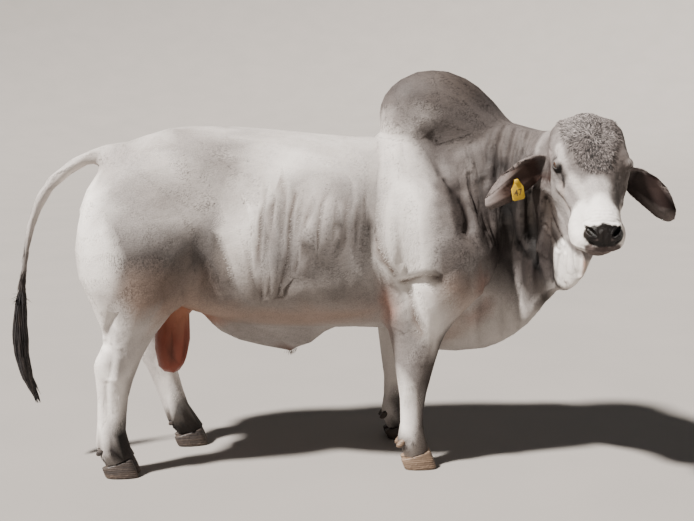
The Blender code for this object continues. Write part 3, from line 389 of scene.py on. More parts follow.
class Graph:
    """The nodes of one material round a Principled shader."""

    def __init__(self, name: str, **constants: float | tuple) -> None:
        """Starts the material.

        Args:
            name: its name.
            constants: the shader's sockets that are the same all over, with _ for a space.
        """
        self.material = bpy.data.materials.new(name)
        self.material.use_nodes = True
        self.tree = self.material.node_tree
        self.tree.nodes.clear()
        output = self.tree.nodes.new("ShaderNodeOutputMaterial")
        self.shader = self.tree.nodes.new("ShaderNodeBsdfPrincipled")
        self.tree.links.new(self.shader.outputs[0], output.inputs["Surface"])
        for socket, value in constants.items():
            self.shader.inputs[socket.replace("_", " ")].default_value = value

    def node(
        self, kind: str, settings: dict | None = None, sockets: dict | None = None, out: int | str = 0,
    ) -> Wire:
        """Any node.

        Args:
            kind: the node's type, without ShaderNode.
            settings: its properties.
            sockets: its inputs, by name or number.
            out: which output is read.

        Returns:
            That output.
        """
        made = self.tree.nodes.new("ShaderNode" + kind)
        for key, value in (settings or {}).items():
            setattr(made, key, value)
        for key, value in (sockets or {}).items():
            self.join(made.inputs[key], value)
        return Wire(self, made.outputs[out])

    def join(self, socket: NodeSocket, value: Wire | float | tuple) -> None:
        """Links or sets a socket.

        Args:
            socket: the input.
            value: what it takes.
        """
        if isinstance(value, Wire):
            self.tree.links.new(value.socket, socket)
        else:
            socket.default_value = value

    def shade(self, **sockets: Wire) -> None:
        """Feeds the shader's sockets, with _ for a space."""
        for socket, value in sockets.items():
            self.join(self.shader.inputs[socket.replace("_", " ")], value)

    def place(self, *scale: float) -> Wire:
        """Object coordinates, stretched by three factors."""
        seen = self.node("TexCoord", out="Object")
        return self.node("Mapping", None, {"Vector": seen, "Scale": scale})

    def noise(self, place: Wire, scale: float, detail: float = 3.0) -> Wire:
        """Soft noise from 0 to 1, with its lattice scale a metre."""
        return self.node("TexNoise", None, {"Vector": place, "Scale": scale, "Detail": detail})

    def attribute(self, name: str) -> Wire:
        """The colour that the mesh carries under this name."""
        return self.node("Attribute", {"attribute_name": name}, out="Color")

    def tint(self, colour: Wire, by: Wire) -> Wire:
        """The colour made lighter or darker by a factor."""
        settings = {"data_type": "RGBA", "blend_type": "MULTIPLY"}
        return self.node("Mix", settings, {0: 1.0, 6: colour, 7: by}, 2)

    def mixed(self, share: Wire, colour: Wire | tuple, other: Wire | tuple) -> Wire:
        """A blend from one colour, where share is 0, to another."""
        return self.node("Mix", {"data_type": "RGBA"}, {0: share, 6: colour, 7: other}, 2)

    def bumps(self, *layers: tuple[Wire, float]) -> None:
        """Feeds the normal through Bump nodes.

        Args:
            layers: pairs of a height from 0 to 1 and what 1 stands for, in metres.
        """
        normal = None
        for height, metres in layers:
            sockets = {"Height": height, "Distance": metres, "Strength": 1.0}
            if normal:
                sockets["Normal"] = normal
            normal = self.node("Bump", None, sockets)
        self.shade(Normal=normal)


@dataclass(frozen=True)
class Hide:
    """Skin under short hair: the markings with their painted shade, roan speckle and grain along the lie of
    the hair.
    """

    name: str = "hide"
    speckle: float = 0.26
    grain: float = 0.0008

    def made(self) -> Material:
        """Makes the material."""
        graph = Graph(self.name, Specular_IOR_Level=0.22)
        split = graph.node("SeparateColor", None, {0: graph.attribute("Relief")}).socket.node
        upright, bare, roan = (Wire(graph, split.outputs[k]) for k in range(3))
        even = graph.place(1, 1, 1)
        clouds = graph.noise(even, 11, 4).step(0.3, 0.72)
        flecks = graph.noise(even, 210, 5).step(0.42, 0.62)
        patches = graph.noise(even, 46, 3).step(0.4, 0.66)
        dust = graph.noise(even, 5, 5).step(0.35, 0.75)
        dark = roan * (0.75 * flecks + 0.25 * patches) * self.speckle
        tone = (0.93 + 0.1 * clouds) - dark
        colour = graph.tint(graph.attribute("Markings"), tone)
        warm = graph.mixed(dust * 0.035, colour, (0.5, 0.36, 0.25, 1))
        along = graph.noise(graph.place(70, 420, 420), 1, 3)
        down = graph.noise(graph.place(420, 420, 70), 1, 3)
        hair = along + upright * (down - along)
        creases = graph.noise(graph.place(330, 330, 330), 1, 4)
        graph.shade(Base_Color=warm, Roughness=0.66 - 0.3 * bare + 0.08 * flecks)
        graph.bumps(
            (hair * (1 - bare), self.grain),
            (creases * bare, 0.0016),
            (graph.noise(even, 28, 3), 0.0022),
        )
        return graph.material


@dataclass(frozen=True)
class Fleece:
    """The tufts: the same markings as the hide, a little lighter and darker from one to the next."""

    name: str = "coat_hair"
    spread: float = 0.22

    def made(self) -> Material:
        """Makes the material."""
        graph = Graph(self.name, Specular_IOR_Level=0.25)
        even = graph.place(1, 1, 1)
        strands = graph.noise(even, 650, 2)
        tone = 1.0 + self.spread * (strands - 0.5)
        graph.shade(
            Base_Color=graph.tint(graph.attribute("Markings"), tone),
            Roughness=0.48 + 0.2 * strands,
        )
        graph.bumps((strands, 0.0004))
        return graph.material


@dataclass(frozen=True)
class SwitchHair:
    """Long coarse black hair with brown ends."""

    name: str = "switch_hair"

    def made(self) -> Material:
        """Makes the material."""
        graph = Graph(self.name, Specular_IOR_Level=0.5)
        fine = graph.noise(graph.place(500, 500, 22), 1, 4)
        loose = graph.noise(graph.place(60, 60, 9), 1, 3).step(0.45, 0.75)
        colour = graph.mixed(loose * 0.55, (0.012, 0.01, 0.011, 1), (0.06, 0.044, 0.036, 1))
        graph.shade(Base_Color=graph.tint(colour, 0.7 + 0.6 * fine), Roughness=0.38 + 0.24 * fine)
        graph.bumps((fine, 0.0012))
        return graph.material


@dataclass(frozen=True)
class Horn:
    """The wall of a hoof: growth rings, fine upright grain, dry dust low down."""

    name: str
    colour: tuple
    worn: tuple

    def made(self) -> Material:
        """Makes the material."""
        graph = Graph(self.name, Specular_IOR_Level=0.45)
        even = graph.place(1, 1, 1)
        height = graph.node("SeparateXYZ", None, {0: even}, 2)
        rings = graph.noise(graph.place(9, 9, 190), 1, 3)
        grain = graph.noise(graph.place(520, 520, 30), 1, 3)
        chips = graph.noise(even, 60, 5).step(0.48, 0.7)
        low = (1 - height.step(0.004, 0.05)) * (0.35 + 0.65 * chips)
        wall = graph.mixed(rings.step(0.35, 0.7), (*self.colour, 1), (*self.worn, 1))
        dusty = graph.mixed(low * 0.45, wall, (0.16, 0.11, 0.078, 1))
        graph.shade(
            Base_Color=graph.tint(dusty, 0.8 + 0.35 * grain), Roughness=0.42 + 0.25 * rings + low * 0.2,
        )
        graph.bumps((rings, 0.0016), (grain, 0.0007), (chips, 0.0008))
        return graph.material


@dataclass(frozen=True)
class EyeSurface:
    """A wet eyeball: brown iris, level pupil and dark white, which its mesh carries as a colour."""

    name: str = "eyeball"

    def made(self) -> Material:
        """Makes the material."""
        graph = Graph(
            self.name, Coat_Weight=1.0, Coat_Roughness=0.03, Specular_IOR_Level=0.5, Coat_IOR=1.38,
        )
        fibres = graph.noise(graph.place(1, 1, 1), 900, 3)
        graph.shade(
            Base_Color=graph.tint(graph.attribute("Markings"), 0.75 + 0.5 * fibres),
            Roughness=0.12 + 0.15 * fibres,
        )
        graph.bumps((fibres, 0.0001))
        return graph.material


@dataclass(frozen=True)
class Moulded:
    """Soft moulded plastic that has lived in the sun, with dirt in its texture."""

    name: str
    colour: tuple
    dirt: tuple

    def made(self) -> Material:
        """Makes the material."""
        graph = Graph(self.name, Specular_IOR_Level=0.4)
        even = graph.place(1, 1, 1)
        grime = graph.noise(even, 70, 5).step(0.5, 0.74)
        pores = graph.noise(even, 900, 2)
        colour = graph.mixed(grime * 0.45, (*self.colour, 1), (*self.dirt, 1))
        graph.shade(
            Base_Color=graph.tint(colour, 0.94 + 0.12 * pores), Roughness=0.42 + 0.25 * grime,
        )
        graph.bumps((pores, 0.00025), (grime, 0.0003))
        return graph.material


@dataclass(frozen=True)
class Ground:
    """The studio's pale floor."""

    name: str = "floor"

    def made(self) -> Material:
        """Makes the material."""
        graph = Graph(self.name, Specular_IOR_Level=0.2)
        tone = graph.noise(graph.place(1, 1, 1), 1.5, 3)
        graph.shade(
            Base_Color=graph.tint(
                graph.mixed(tone, (0.25, 0.235, 0.22, 1), (0.27, 0.25, 0.235, 1)), 0.97 + 0.06 * tone,
            ),
            Roughness=0.8 + 0.1 * tone,
        )
        return graph.material


# --- Markings, with painted shade ---


def ripples(trunk: Array) -> Array:
    """Fine upright wrinkles of loose skin on the ribs, flanks, shoulder and neck, from 0 to about 1."""
    x, y, z = trunk.T
    low, high = soft_noise(trunk, (26, 12, 4.5), 8), soft_noise(trunk, (48, 20, 8), 9)
    lines = (1 - np.abs(low)) ** 9 + 0.6 * (1 - np.abs(high)) ** 9
    ribs = ramp(x, -0.5, -0.38) * (1 - ramp(x, 0.1, 0.18)) * ramp(np.abs(y), 0.13, 0.22)
    ribs *= ramp(z, 0.72, 0.84) * (1 - ramp(z, 1.18, 1.34))
    neck = ramp(x, 0.42, 0.52) * (1 - ramp(z, 1.36, 1.46)) * ramp(z, 0.5, 0.7)
    return lines * (ribs + neck)


class Mark(NamedTuple):
    """A soft stroke of coat colour along a line."""

    colour: tuple
    share: float        # how much of the colour at the line
    inner: float        # the half width at which it starts to fade
    outer: float        # the half width at which it has gone
    line: tuple


WHITE = (0.8, 0.755, 0.715)
CREAM = (0.5, 0.462, 0.435)
PALE = (0.44, 0.405, 0.385)
SILVER = (0.185, 0.165, 0.158)
GREY = (0.085, 0.072, 0.068)
SLATE = (0.045, 0.037, 0.035)
DARK = (0.021, 0.016, 0.015)
BLACK = (0.006, 0.005, 0.005)
TAWNY = (0.3, 0.21, 0.165)
NOSE = (0.005, 0.004, 0.004)
ROSE = (0.26, 0.12, 0.085)
RUST = (0.2, 0.05, 0.03)

# On both flanks, as seen from the side: (x, z)
SIDE_MARKS = tuple(Mark(*row) for row in (
    (CREAM, .55, .06, .2, ((-1.02, 1.28), (-.8, 1.44), (-.4, 1.44), (.1, 1.4))),
    (SILVER, .55, .03, .1, ((-1.05, 1.36), (-.95, 1.37), (-.88, 1.34))),
    (GREY, .55, .03, .11, ((-.97, 1.2), (-.88, 1.2), (-.78, 1.17))),
    # These three rows: grey mottling of the thigh and the low flank, with painted shade where they turn away
    # from the light
    (SLATE, .85, .05, .15, ((-.94, 1), (-.87, .93), (-.83, .84))),
    (SLATE, .85, .05, .13, ((-.76, .96), (-.7, .99), (-.61, 1), (-.57, .93))),
    (SLATE, .7, .05, .13, ((-.78, .83), (-.68, .84), (-.58, .84))),
    (GREY, .4, .02, .09, ((-1, .8), (-.96, .77), (-.91, .72))),
    (CREAM, .7, .04, .11, ((-1.06, .8), (-1.02, .7), (-.96, .64))),
    (GREY, .55, .03, .1, ((-.7, 1.42), (-.62, 1.4), (-.55, 1.38))),
    (GREY, .5, .02, .1, ((-.48, 1.42), (-.52, 1.32), (-.56, 1.2))),
    (GREY, .45, .015, .07, ((-.33, 1.24), (-.33, 1.16), (-.35, 1.08))),
    (GREY, .4, .02, .08, ((-.06, 1.24), (-.02, 1.14), (.02, 1.08))),
    (GREY, .55, .015, .06, ((.02, 1.46), (.07, 1.45), (.11, 1.43))),
    # These two rows: grey coat low on the ribs, with painted shade where they turn under
    (GREY, .75, .05, .14, ((-.25, .93), (-.14, .96), (-.04, 1), (.05, 1.02))),
    (SLATE, .45, .02, .09, ((-.16, .97), (-.08, .98), (.03, 1.05), (.07, 1.12))),
    (TAWNY, .45, .03, .14, ((-.9, .84), (-.76, .8), (-.62, .78))),
    # This row: a darker belly, dusty coat with painted shade under it
    ((.11, .085, .072), .6, .06, .17, ((-.48, .74), (-.3, .74), (.06, .75))),
    (TAWNY, .65, .02, .07, ((-.88, .74), (-.62, .7), (-.3, .68), (.06, .69))),
    # This row: greyer on the belly's underside, grey coat with painted shade
    (SILVER, .6, .02, .09, ((-.48, .58), (-.3, .53), (-.16, .57))),
    (CREAM, .85, .03, .09, ((-.5, 1.24), (-.5, 1.08), (-.48, .92))),
    (CREAM, .75, .05, .14, ((.18, 1.4), (.19, 1.2), (.17, 1))),
    (WHITE, .9, .02, .1, ((.22, 1.22), (.22, 1.05), (.19, .96), (.18, .92))),
    (WHITE, .85, .03, .12, ((.24, .92), (.28, .82), (.3, .66))),
    (WHITE, .9, .04, .1, ((-1.12, 1.22), (-1.08, 1.12), (-1.04, 1.02), (-1.05, .88))),
    (WHITE, .6, .02, .07, ((-.24, 1.36), (-.42, 1.14), (-.44, 1.04))),
    (GREY, .97, .125, .2, ((.22, 1.67), (.34, 1.7), (.46, 1.69), (.58, 1.62), (.66, 1.53))),
    (SLATE, .6, .08, .16, ((.3, 1.66), (.42, 1.68), (.54, 1.62))),
    # These two rows: slate on the hump's front slope, which faces away from the light: grey coat with painted
    # shade
    (SLATE, .8, .05, .13, ((.54, 1.62), (.61, 1.55), (.67, 1.48))),
    (DARK, .45, .03, .1, ((.46, 1.72), (.56, 1.64), (.64, 1.54))),
    # This row: painted shade in a hollow on the hump's side
    (SLATE, .45, .012, .055, ((.325, 1.6), (.33, 1.57))),
    (SILVER, .55, .02, .08, ((.24, 1.49), (.36, 1.48), (.42, 1.49))),
    (SILVER, .75, .03, .08, ((.4, 1.48), (.5, 1.47), (.56, 1.46))),
))

# Round the trunk, the neck and the legs, from the median plane: (x, y, z)
TRUNK_MARKS = tuple(Mark(*row) for row in (
    (GREY, .92, .1, .19, ((.48, -.12, 1.44), (.56, -.15, 1.38), (.6, -.2, 1.28), (.58, -.21, 1.18))),
    (GREY, .95, .1, .22, ((.66, -.18, 1.44), (.76, -.28, 1.38), (.84, -.36, 1.36))),
    # These five rows: the neck's dark coat below the head and the ear, with painted shadow of the head and
    # the ear, and painted shade in the hollow above the brisket
    (SLATE, .75, .04, .1, ((.64, -.17, 1.4), (.635, -.2, 1.3), (.6, -.21, 1.22))),
    (DARK, .8, .02, .06, ((.64, -.2, 1.31), (.64, -.22, 1.24), (.6, -.22, 1.18))),
    (SLATE, .9, .09, .15, ((.63, -.22, 1.2), (.64, -.24, 1.08), (.7, -.26, .96))),
    (SLATE, .95, .1, .16, ((.72, -.33, 1.25), (.74, -.35, 1.12), (.76, -.36, 1))),
    (SLATE, .93, .07, .13, ((.52, -.27, 1.1), (.54, -.3, 1.03), (.62, -.25, .98))),
    (GREY, .85, .035, .11, ((.36, -.11, 1.42), (.38, -.16, 1.34), (.4, -.2, 1.28), (.42, -.23, 1.23))),
    (GREY, .85, .035, .115, ((.41, -.24, 1.22), (.41, -.28, 1.12), (.405, -.31, 1.02), (.4, -.33, .92))),
    # This row: the dark streak beside the edge of the neck's muscle, with painted shadow of the muscle
    (DARK, .9, .02, .055, ((.43, -.23, 1.21), (.45, -.26, 1.15), (.455, -.3, 1.08), (.45, -.33, 1))),
    # This row: grey coat low on the chest, with painted shadow
    (GREY, .6, .03, .09, ((.44, -.33, .98), (.42, -.33, .9), (.44, -.31, .82))),
    (GREY, .75, .06, .14, ((.49, -.31, .94), (.57, -.28, .88), (.66, -.18, .86))),
    # These five rows: the dark coat of the throat and the brisket's front, with painted shadow of the head
    # and the ear over it
    (SLATE, .95, .08, .15, ((.69, -.22, .96), (.74, -.3, .92), (.77, -.4, .95))),
    (DARK, .9, .05, .1, ((.74, -.3, .92), (.755, -.31, .85), (.765, -.32, .79))),
    (SLATE, .9, .07, .12, ((.76, -.38, 1.14), (.79, -.44, 1.1), (.8, -.49, 1.07))),
    (SLATE, .9, .05, .1, ((.77, -.42, .98), (.785, -.46, 1), (.795, -.5, 1.04))),
    (DARK, .7, .04, .08, ((.775, -.39, 1.17), (.79, -.44, 1.09), (.785, -.45, 1.02))),
    (GREY, .75, .1, .26, ((.56, .12, 1.42), (.64, .16, 1.3), (.7, .14, 1.15))),
    (GREY, .8, .1, .22, ((.78, .02, 1.44), (.92, -.16, 1.4), (.98, -.3, 1.36))),
    (SLATE, .75, .07, .18, ((.8, .1, 1.3), (.86, 0, 1.15), (.84, -.1, 1))),
    # These eight rows: near-black painted shadow of the head and the ear over the dark coat of the throat
    (BLACK, .92, .06, .09, ((.7, -.25, 1.22), (.705, -.27, 1.1), (.72, -.28, 1))),
    (DARK, .88, .035, .075, ((.765, -.39, 1.26), (.776, -.39, 1.15), (.777, -.4, 1.06), (.778, -.42, .98))),
    (BLACK, .75, .03, .07, ((.72, -.3, 1.2), (.73, -.3, 1.1), (.73, -.29, 1))),
    (BLACK, .8, .014, .045, ((.73, -.33, 1.22), (.73, -.32, 1.12), (.75, -.31, 1.02), (.76, -.35, .9))),
    (BLACK, .75, .015, .055, ((.66, -.24, 1.18), (.665, -.24, 1.07), (.68, -.22, .96))),
    (DARK, .8, .03, .08, ((.77, -.4, 1.24), (.785, -.42, 1.14), (.778, -.43, 1.03))),
    (SLATE, .8, .008, .024, ((.7, -.3, 1.2), (.7, -.29, 1.11), (.72, -.27, 1.02), (.74, -.28, .98))),
    (SLATE, .8, .01, .028, ((.745, -.36, 1.2), (.77, -.36, 1.07), (.765, -.365, .99))),
    (PALE, .7, .05, .13, ((.52, -.12, .72), (.6, -.12, .66), (.69, -.15, .64))),
    (CREAM, .75, .05, .12, ((.52, -.08, .6), (.62, -.1, .58), (.7, -.16, .62))),
    # This row: painted shade along the flap's edge, where the neck lies behind it
    (DARK, .85, .01, .035, ((.785, -.5, 1), (.8, -.485, .93), (.815, -.48, .87))),
    (WHITE, .97, .05, .08, ((.82, -.56, .99), (.82, -.55, .91), (.87, -.62, .99))),
    (TAWNY, .8, .006, .02, ((.872, -.64, 1.03), (.868, -.628, .96), (.862, -.61, .9))),
    (ROSE, .55, .003, .01, ((.868, -.64, 1.02), (.862, -.622, .93))),
    (TAWNY, .55, .02, .11, ((.42, -.31, .79), (.48, -.28, .76), (.52, -.2, .66), (.44, -.08, .58))),
    (ROSE, .4, .01, .05, ((.545, -.31, .85), (.565, -.27, .8), (.6, -.13, .71), (.56, -.1, .64))),
    (ROSE, .7, .012, .065, ((.14, -.3, .79), (.165, -.27, .69), (.17, -.2, .6))),
    (SILVER, .8, .05, .11, ((.22, -.24, .62), (.24, -.24, .52), (.27, -.26, .46))),
    (GREY, .7, .02, .07, ((.29, -.27, .53), (.315, -.26, .47), (.32, -.26, .41))),
    (DARK, .95, .035, .08, ((.385, -.2, .58), (.378, -.21, .5), (.36, -.21, .4))),
    (DARK, .95, .034, .062, ((.352, -.21, .4), (.338, -.2, .3), (.335, -.2, .16))),
    (WHITE, .8, .02, .05, ((.225, -.23, .4), (.235, -.22, .28), (.235, -.22, .18))),
    (DARK, .92, .022, .065, ((.36, .2, .58), (.35, .21, .5), (.325, .21, .4))),
    (DARK, .92, .016, .046, ((.325, .21, .4), (.305, .2, .3), (.302, .2, .18))),
    (CREAM, .9, .05, .09, ((.22, .18, .5), (.215, .18, .3))),
    (WHITE, .7, .06, .12, ((-1.02, -.2, .7), (-1.02, -.2, .4), (-1.04, -.2, .24))),
    (WHITE, .95, .07, .12, ((-.76, .17, .62), (-.75, .17, .4), (-.73, .17, .24))),
    (SILVER, .6, .01, .05, ((-.93, -.21, .42), (-.95, -.21, .28))),
    (SILVER, .45, .02, .06, ((-1, -.24, .64), (-.975, -.24, .57), (-.99, -.24, .5))),
    (GREY, .7, .02, .06, ((-1.02, -.24, .22), (-1, -.24, .19))),
    (BLACK, .97, .06, .085, ((-.955, -.2, .19), (-.965, -.21, .13), (-.94, -.2, .07))),
    (DARK, .95, .04, .07, ((-1, -.2, .12), (-1.02, -.2, .09))),
    (CREAM, .9, .018, .036, ((-1.075, -.21, .19), (-1.085, -.22, .15), (-1.08, -.22, .12))),
    (BLACK, .97, .075, .115, ((-.71, .19, .15), (-.73, .19, .1), (-.69, .19, .07))),
    (SLATE, .9, .045, .075, ((.24, -.22, .125), (.28, -.22, .125), (.32, -.22, .11))),
    (DARK, .95, .035, .06, ((.34, -.2, .17), (.345, -.2, .09))),
    (BLACK, .92, .055, .08, ((.26, .2, .15), (.27, .2, .11), (.28, .2, .07))),
    (CREAM, .7, .01, .028, ((.215, -.235, .15), (.25, -.25, .15))),
    (RUST, 1, .13, .17, ((-.785, 0, .6), (-.775, 0, .5), (-.78, 0, .45))),
    ((.3, .125, .07), .9, .05, .11, ((-.79, 0, .78), (-.74, -.03, .7), (-.64, -.06, .69))),
    (TAWNY, .8, .03, .09, ((-.64, -.1, .7), (-.54, -.12, .68))),
    (RUST, .75, .01, .05, ((-1.085, 0, 1.3), (-1.105, 0, 1.24), (-1.115, 0, 1.2))),
    (DARK, .55, .005, .028, ((-1.08, 0, 1.305), (-1.1, 0, 1.29))),
    ((.1, .045, .032), .9, .015, .038, ((-.262, 0, .484), (-.25, 0, .475))),
    (CREAM, .8, .03, .07, ((-1.03, 0, 1.37), (-1.13, 0, 1.34), (-1.21, 0, 1.29))),
    (PALE, .8, .03, .06, ((-1.26, 0, 1.25), (-1.33, 0, 1.14), (-1.37, 0, 1.02))),
    (SILVER, .7, .03, .06, ((-1.38, 0, .98), (-1.395, 0, .9))),
    (DARK, .95, .03, .06, ((-1.405, 0, .85), (-1.41, 0, .8), (-1.42, 0, .7))),
))

# On the head in its own axes, and the same on its other side: (along, left, up)
HEAD_MARKS = tuple(Mark(*row) for row in (
    (SILVER, .92, .2, .3, ((.05, .05, -.05), (.25, .05, -.08), (.4, .05, -.12))),
    (PALE, .35, .04, .09, ((.24, .13, -.11), (.32, .12, -.15), (.4, .1, -.17))),
    (GREY, .75, .04, .08, ((-.04, .09, 0), (.01, .12, -.06), (.08, .15, -.14))),
    # These three rows: dark under the jaw, dark coat with painted shade
    (DARK, .85, .025, .05, ((.15, .14, -.28), (.25, .125, -.265), (.33, .1, -.27))),
    (DARK, .9, .06, .085, ((.12, .06, -.34), (.28, .05, -.35), (.42, .03, -.31))),
    (DARK, .85, .04, .066, ((.08, .15, -.31), (.2, .14, -.335), (.34, .11, -.33), (.45, .08, -.29))),
    ((.15, .132, .126), .9, .085, .12, ((0, .02, .02), (.1, .02, .04), (.2, 0, .03))),
    (GREY, .75, .045, .085, ((.2, .045, .02), (.26, .03, .01), (.315, .01, 0))),
    (SLATE, .4, .02, .06, ((.07, 0, .04), (.19, 0, .03), (.27, 0, .01))),
    (PALE, .75, .008, .028, ((.14, .13, -.004), (.19, .13, .003), (.235, .118, .002))),
    (PALE, .7, .02, .06, ((.35, .02, 0), (.42, 0, 0))),
    (WHITE, .95, .035, .085, ((.45, 0, 0), (.53, 0, -.02))),
    (CREAM, .85, .01, .04, ((.285, .105, -.022), (.325, .085, -.02), (.4, .065, -.02))),
    (SILVER, .45, .006, .034, ((.31, .11, -.075), (.38, .095, -.085), (.42, .09, -.09))),
    (TAWNY, .25, .006, .022, ((.275, .122, -.07), (.315, .115, -.1), (.35, .107, -.12))),
    (WHITE, .9, .045, .08, ((.45, .075, -.07), (.52, .07, -.08), (.55, .07, -.09))),
    (CREAM, .8, .03, .055, ((.46, .07, -.15), (.52, .05, -.155))),
    (DARK, .8, .01, .034, ((.183, .149, -.043), (.228, .139, -.045), (.263, .121, -.045))),
    (DARK, .7, .006, .02, ((.188, .147, -.011), (.218, .145, -.011), (.243, .131, -.023))),
    (BLACK, .97, .016, .026, ((.196, .144, -.028), (.228, .139, -.031))),
    (BLACK, .85, .004, .012, ((.234, .131, -.033), (.258, .121, -.045), (.278, .113, -.061),
     (.29, .109, -.08))),
    (NOSE, 1, .033, .039, ((.553, 0, -.042), (.568, 0, -.058), (.563, .03, -.055))),
    (NOSE, 1, .024, .03, ((.548, .035, -.045), (.552, .052, -.048))),
    ((.045, .028, .025), .95, .012, .022, ((.598, 0, -.096), (.59, .03, -.096), (.576, .05, -.098))),
    ((.085, .056, .048), .9, .012, .026, ((.59, 0, -.128), (.575, .036, -.13))),
    ((.02, .01, .009), .9, .003, .008, ((.602, 0, -.112), (.585, .045, -.116), (.545, .08, -.124),
     (.49, .095, -.129))),
    (NOSE, .8, .003, .006, ((.218, .131, -.045), (.23, .129, -.043))),
    ((.06, .048, .046), .85, .002, .005, ((.575, .026, -.056), (.572, .04, -.06), (.56, .055, -.06))),
    # These two rows: near-black inside the nostrils, painted shade
    ((.002, .001, .001), 1, .0095, .0125, ((.553, .033, -.054), (.549, .039, -.051),
     (.542, .047, -.049), (.533, .053, -.047))),
    ((.002, .001, .001), 1, .005, .009, ((.533, .053, -.047), (.521, .061, -.047))),
))

# On the far half of the face, which lies in shade: grey coat beside the bridge, darkened by painted shade:
# (along, left, up)
SHADED_FACE_MARKS = tuple(Mark(*row) for row in (
    (SLATE, .9, .022, .05, ((.18, .105, .01), (.26, .09, -.01), (.33, .08, -.03), (.4, .072, -.035))),
    (GREY, .85, .03, .07, ((.04, .12, 0), (.12, .12, 0), (.2, .11, -.02), (.3, .1, -.06))),
))


class Ear(NamedTuple):
    """Where an ear runs from the trunk's axes, as a bend, and the way that its cup looks."""

    root: tuple
    bend: tuple
    tip: tuple
    looks: tuple
    inside: tuple       # the colour of the cup, on the far ear darkened by painted shade

    def run(self, share: float) -> Vector:
        """A place on the bend, from 0 at the root to 1 at the tip, in the frame."""
        root, bend, tip = (Vector(point) for point in (self.root, self.bend, self.tip))
        return (root * (1 - share) ** 2 + bend * 2 * share * (1 - share) + tip * share**2) + STANCE

    def ahead(self, share: float) -> Vector:
        """The bend's heading there."""
        return (self.run(min(share + 0.01, 1.01)) - self.run(share - 0.01)).normalized()

    def across(self, share: float) -> Vector:
        """The way from the bend to the cup's rim."""
        return self.ahead(share).cross(Vector(self.looks)).normalized()


EARS = {
    "ear_right": Ear(
        (0.792, -0.395, 1.345), (0.663, -0.43, 1.309), (0.524, -0.44, 1.165),
        (-0.25, -0.93, -0.3), (0.05, 0.028, 0.023),
    ),
    # The far ear's cup is given a darker colour than the near one's: painted shade
    "ear_left": Ear(
        (1.07, -0.415, 1.301), (1.207, -0.44, 1.252), (1.284, -0.455, 1.108),
        (0.05, -0.96, -0.2), (0.018, 0.01, 0.009),
    ),
}
# Half the width of an ear along its bend: (share of the length, metres)
EAR_HALF = (
    (-0.2, 0.016), (0.0, 0.026), (0.1, 0.043), (0.25, 0.063), (0.45, 0.07), (0.65, 0.066), (0.82, 0.054),
    (0.92, 0.041), (1.0, 0.012),
)
EAR_REACH = 0.24            # an ear's places lie nearer than this to its middle


@dataclass
class EarPlace:
    """Where each of many places lies on one ear."""

    along: Array        # 0 at the root, 1 at the tip
    across: Array       # -1 and 1 at the rims
    away: Array         # how far from the bend, metres

    @classmethod
    def near(cls, ear: Ear, places: Array) -> tuple[Array, EarPlace]:
        """Picks the places round an ear and measures them."""
        near = np.flatnonzero(np.linalg.norm(places - np.array(ear.run(0.5)), axis=1) < EAR_REACH)
        return near, cls.of(ear, places[near])

    @classmethod
    def of(cls, ear: Ear, places: Array) -> EarPlace:
        """Measures the places of the frame against an ear's bend."""
        shares = np.linspace(-0.15, 1.0, 47)
        middles = np.array([ear.run(share) for share in shares])
        gaps = np.linalg.norm(places[:, None] - middles[None], axis=2)
        nearest = gaps.argmin(axis=1)
        sides = np.array([ear.across(share) for share in shares])[nearest]
        across = np.einsum("ij,ij->i", places - middles[nearest], sides)
        half = np.interp(shares[nearest], *np.array(EAR_HALF).T)
        return cls(shares[nearest], across / half, gaps.min(axis=1))


# The head's middle line and the place of its left eye, in its own axes
HEAD_CORE = ((0.06, 0.0, -0.11), (0.34, 0.0, -0.135), (0.56, 0.0, -0.09))
EYE_SPOT = (0.214, 0.139, -0.031)

# Bare skin: is it on the head, its line, and how far off it starts to fade and has gone
BARE = (
    (True, ((0.553, 0, -0.04), (0.59, 0, -0.085), (0.555, 0.05, -0.048)), 0.03, 0.04),
    (True, ((0.196, 0.14, -0.028), (0.226, 0.136, -0.033)), 0.012, 0.024),
    (True, ((0.602, 0, -0.112), (0.585, 0.045, -0.116), (0.545, 0.08, -0.124)), 0.01, 0.02),
    (False, ((-0.785, 0, 0.64), (-0.78, 0, 0.45)), 0.12, 0.15),
    (False, ((-1.09, 0, 1.3), (-1.11, 0, 1.22)), 0.02, 0.05),
    (False, ((-0.255, 0, 0.49), (-0.25, 0, 0.475)), 0.015, 0.035),
)


def folds_over(trunk: Array) -> tuple:
    """The trunk's and the neck's kinds of fold, each with the places as its lines count them."""
    return (RIBS, trunk[:, ::2]), (LOOSE_SKIN, mirrored(trunk)), (NECK_FOLDS, trunk)


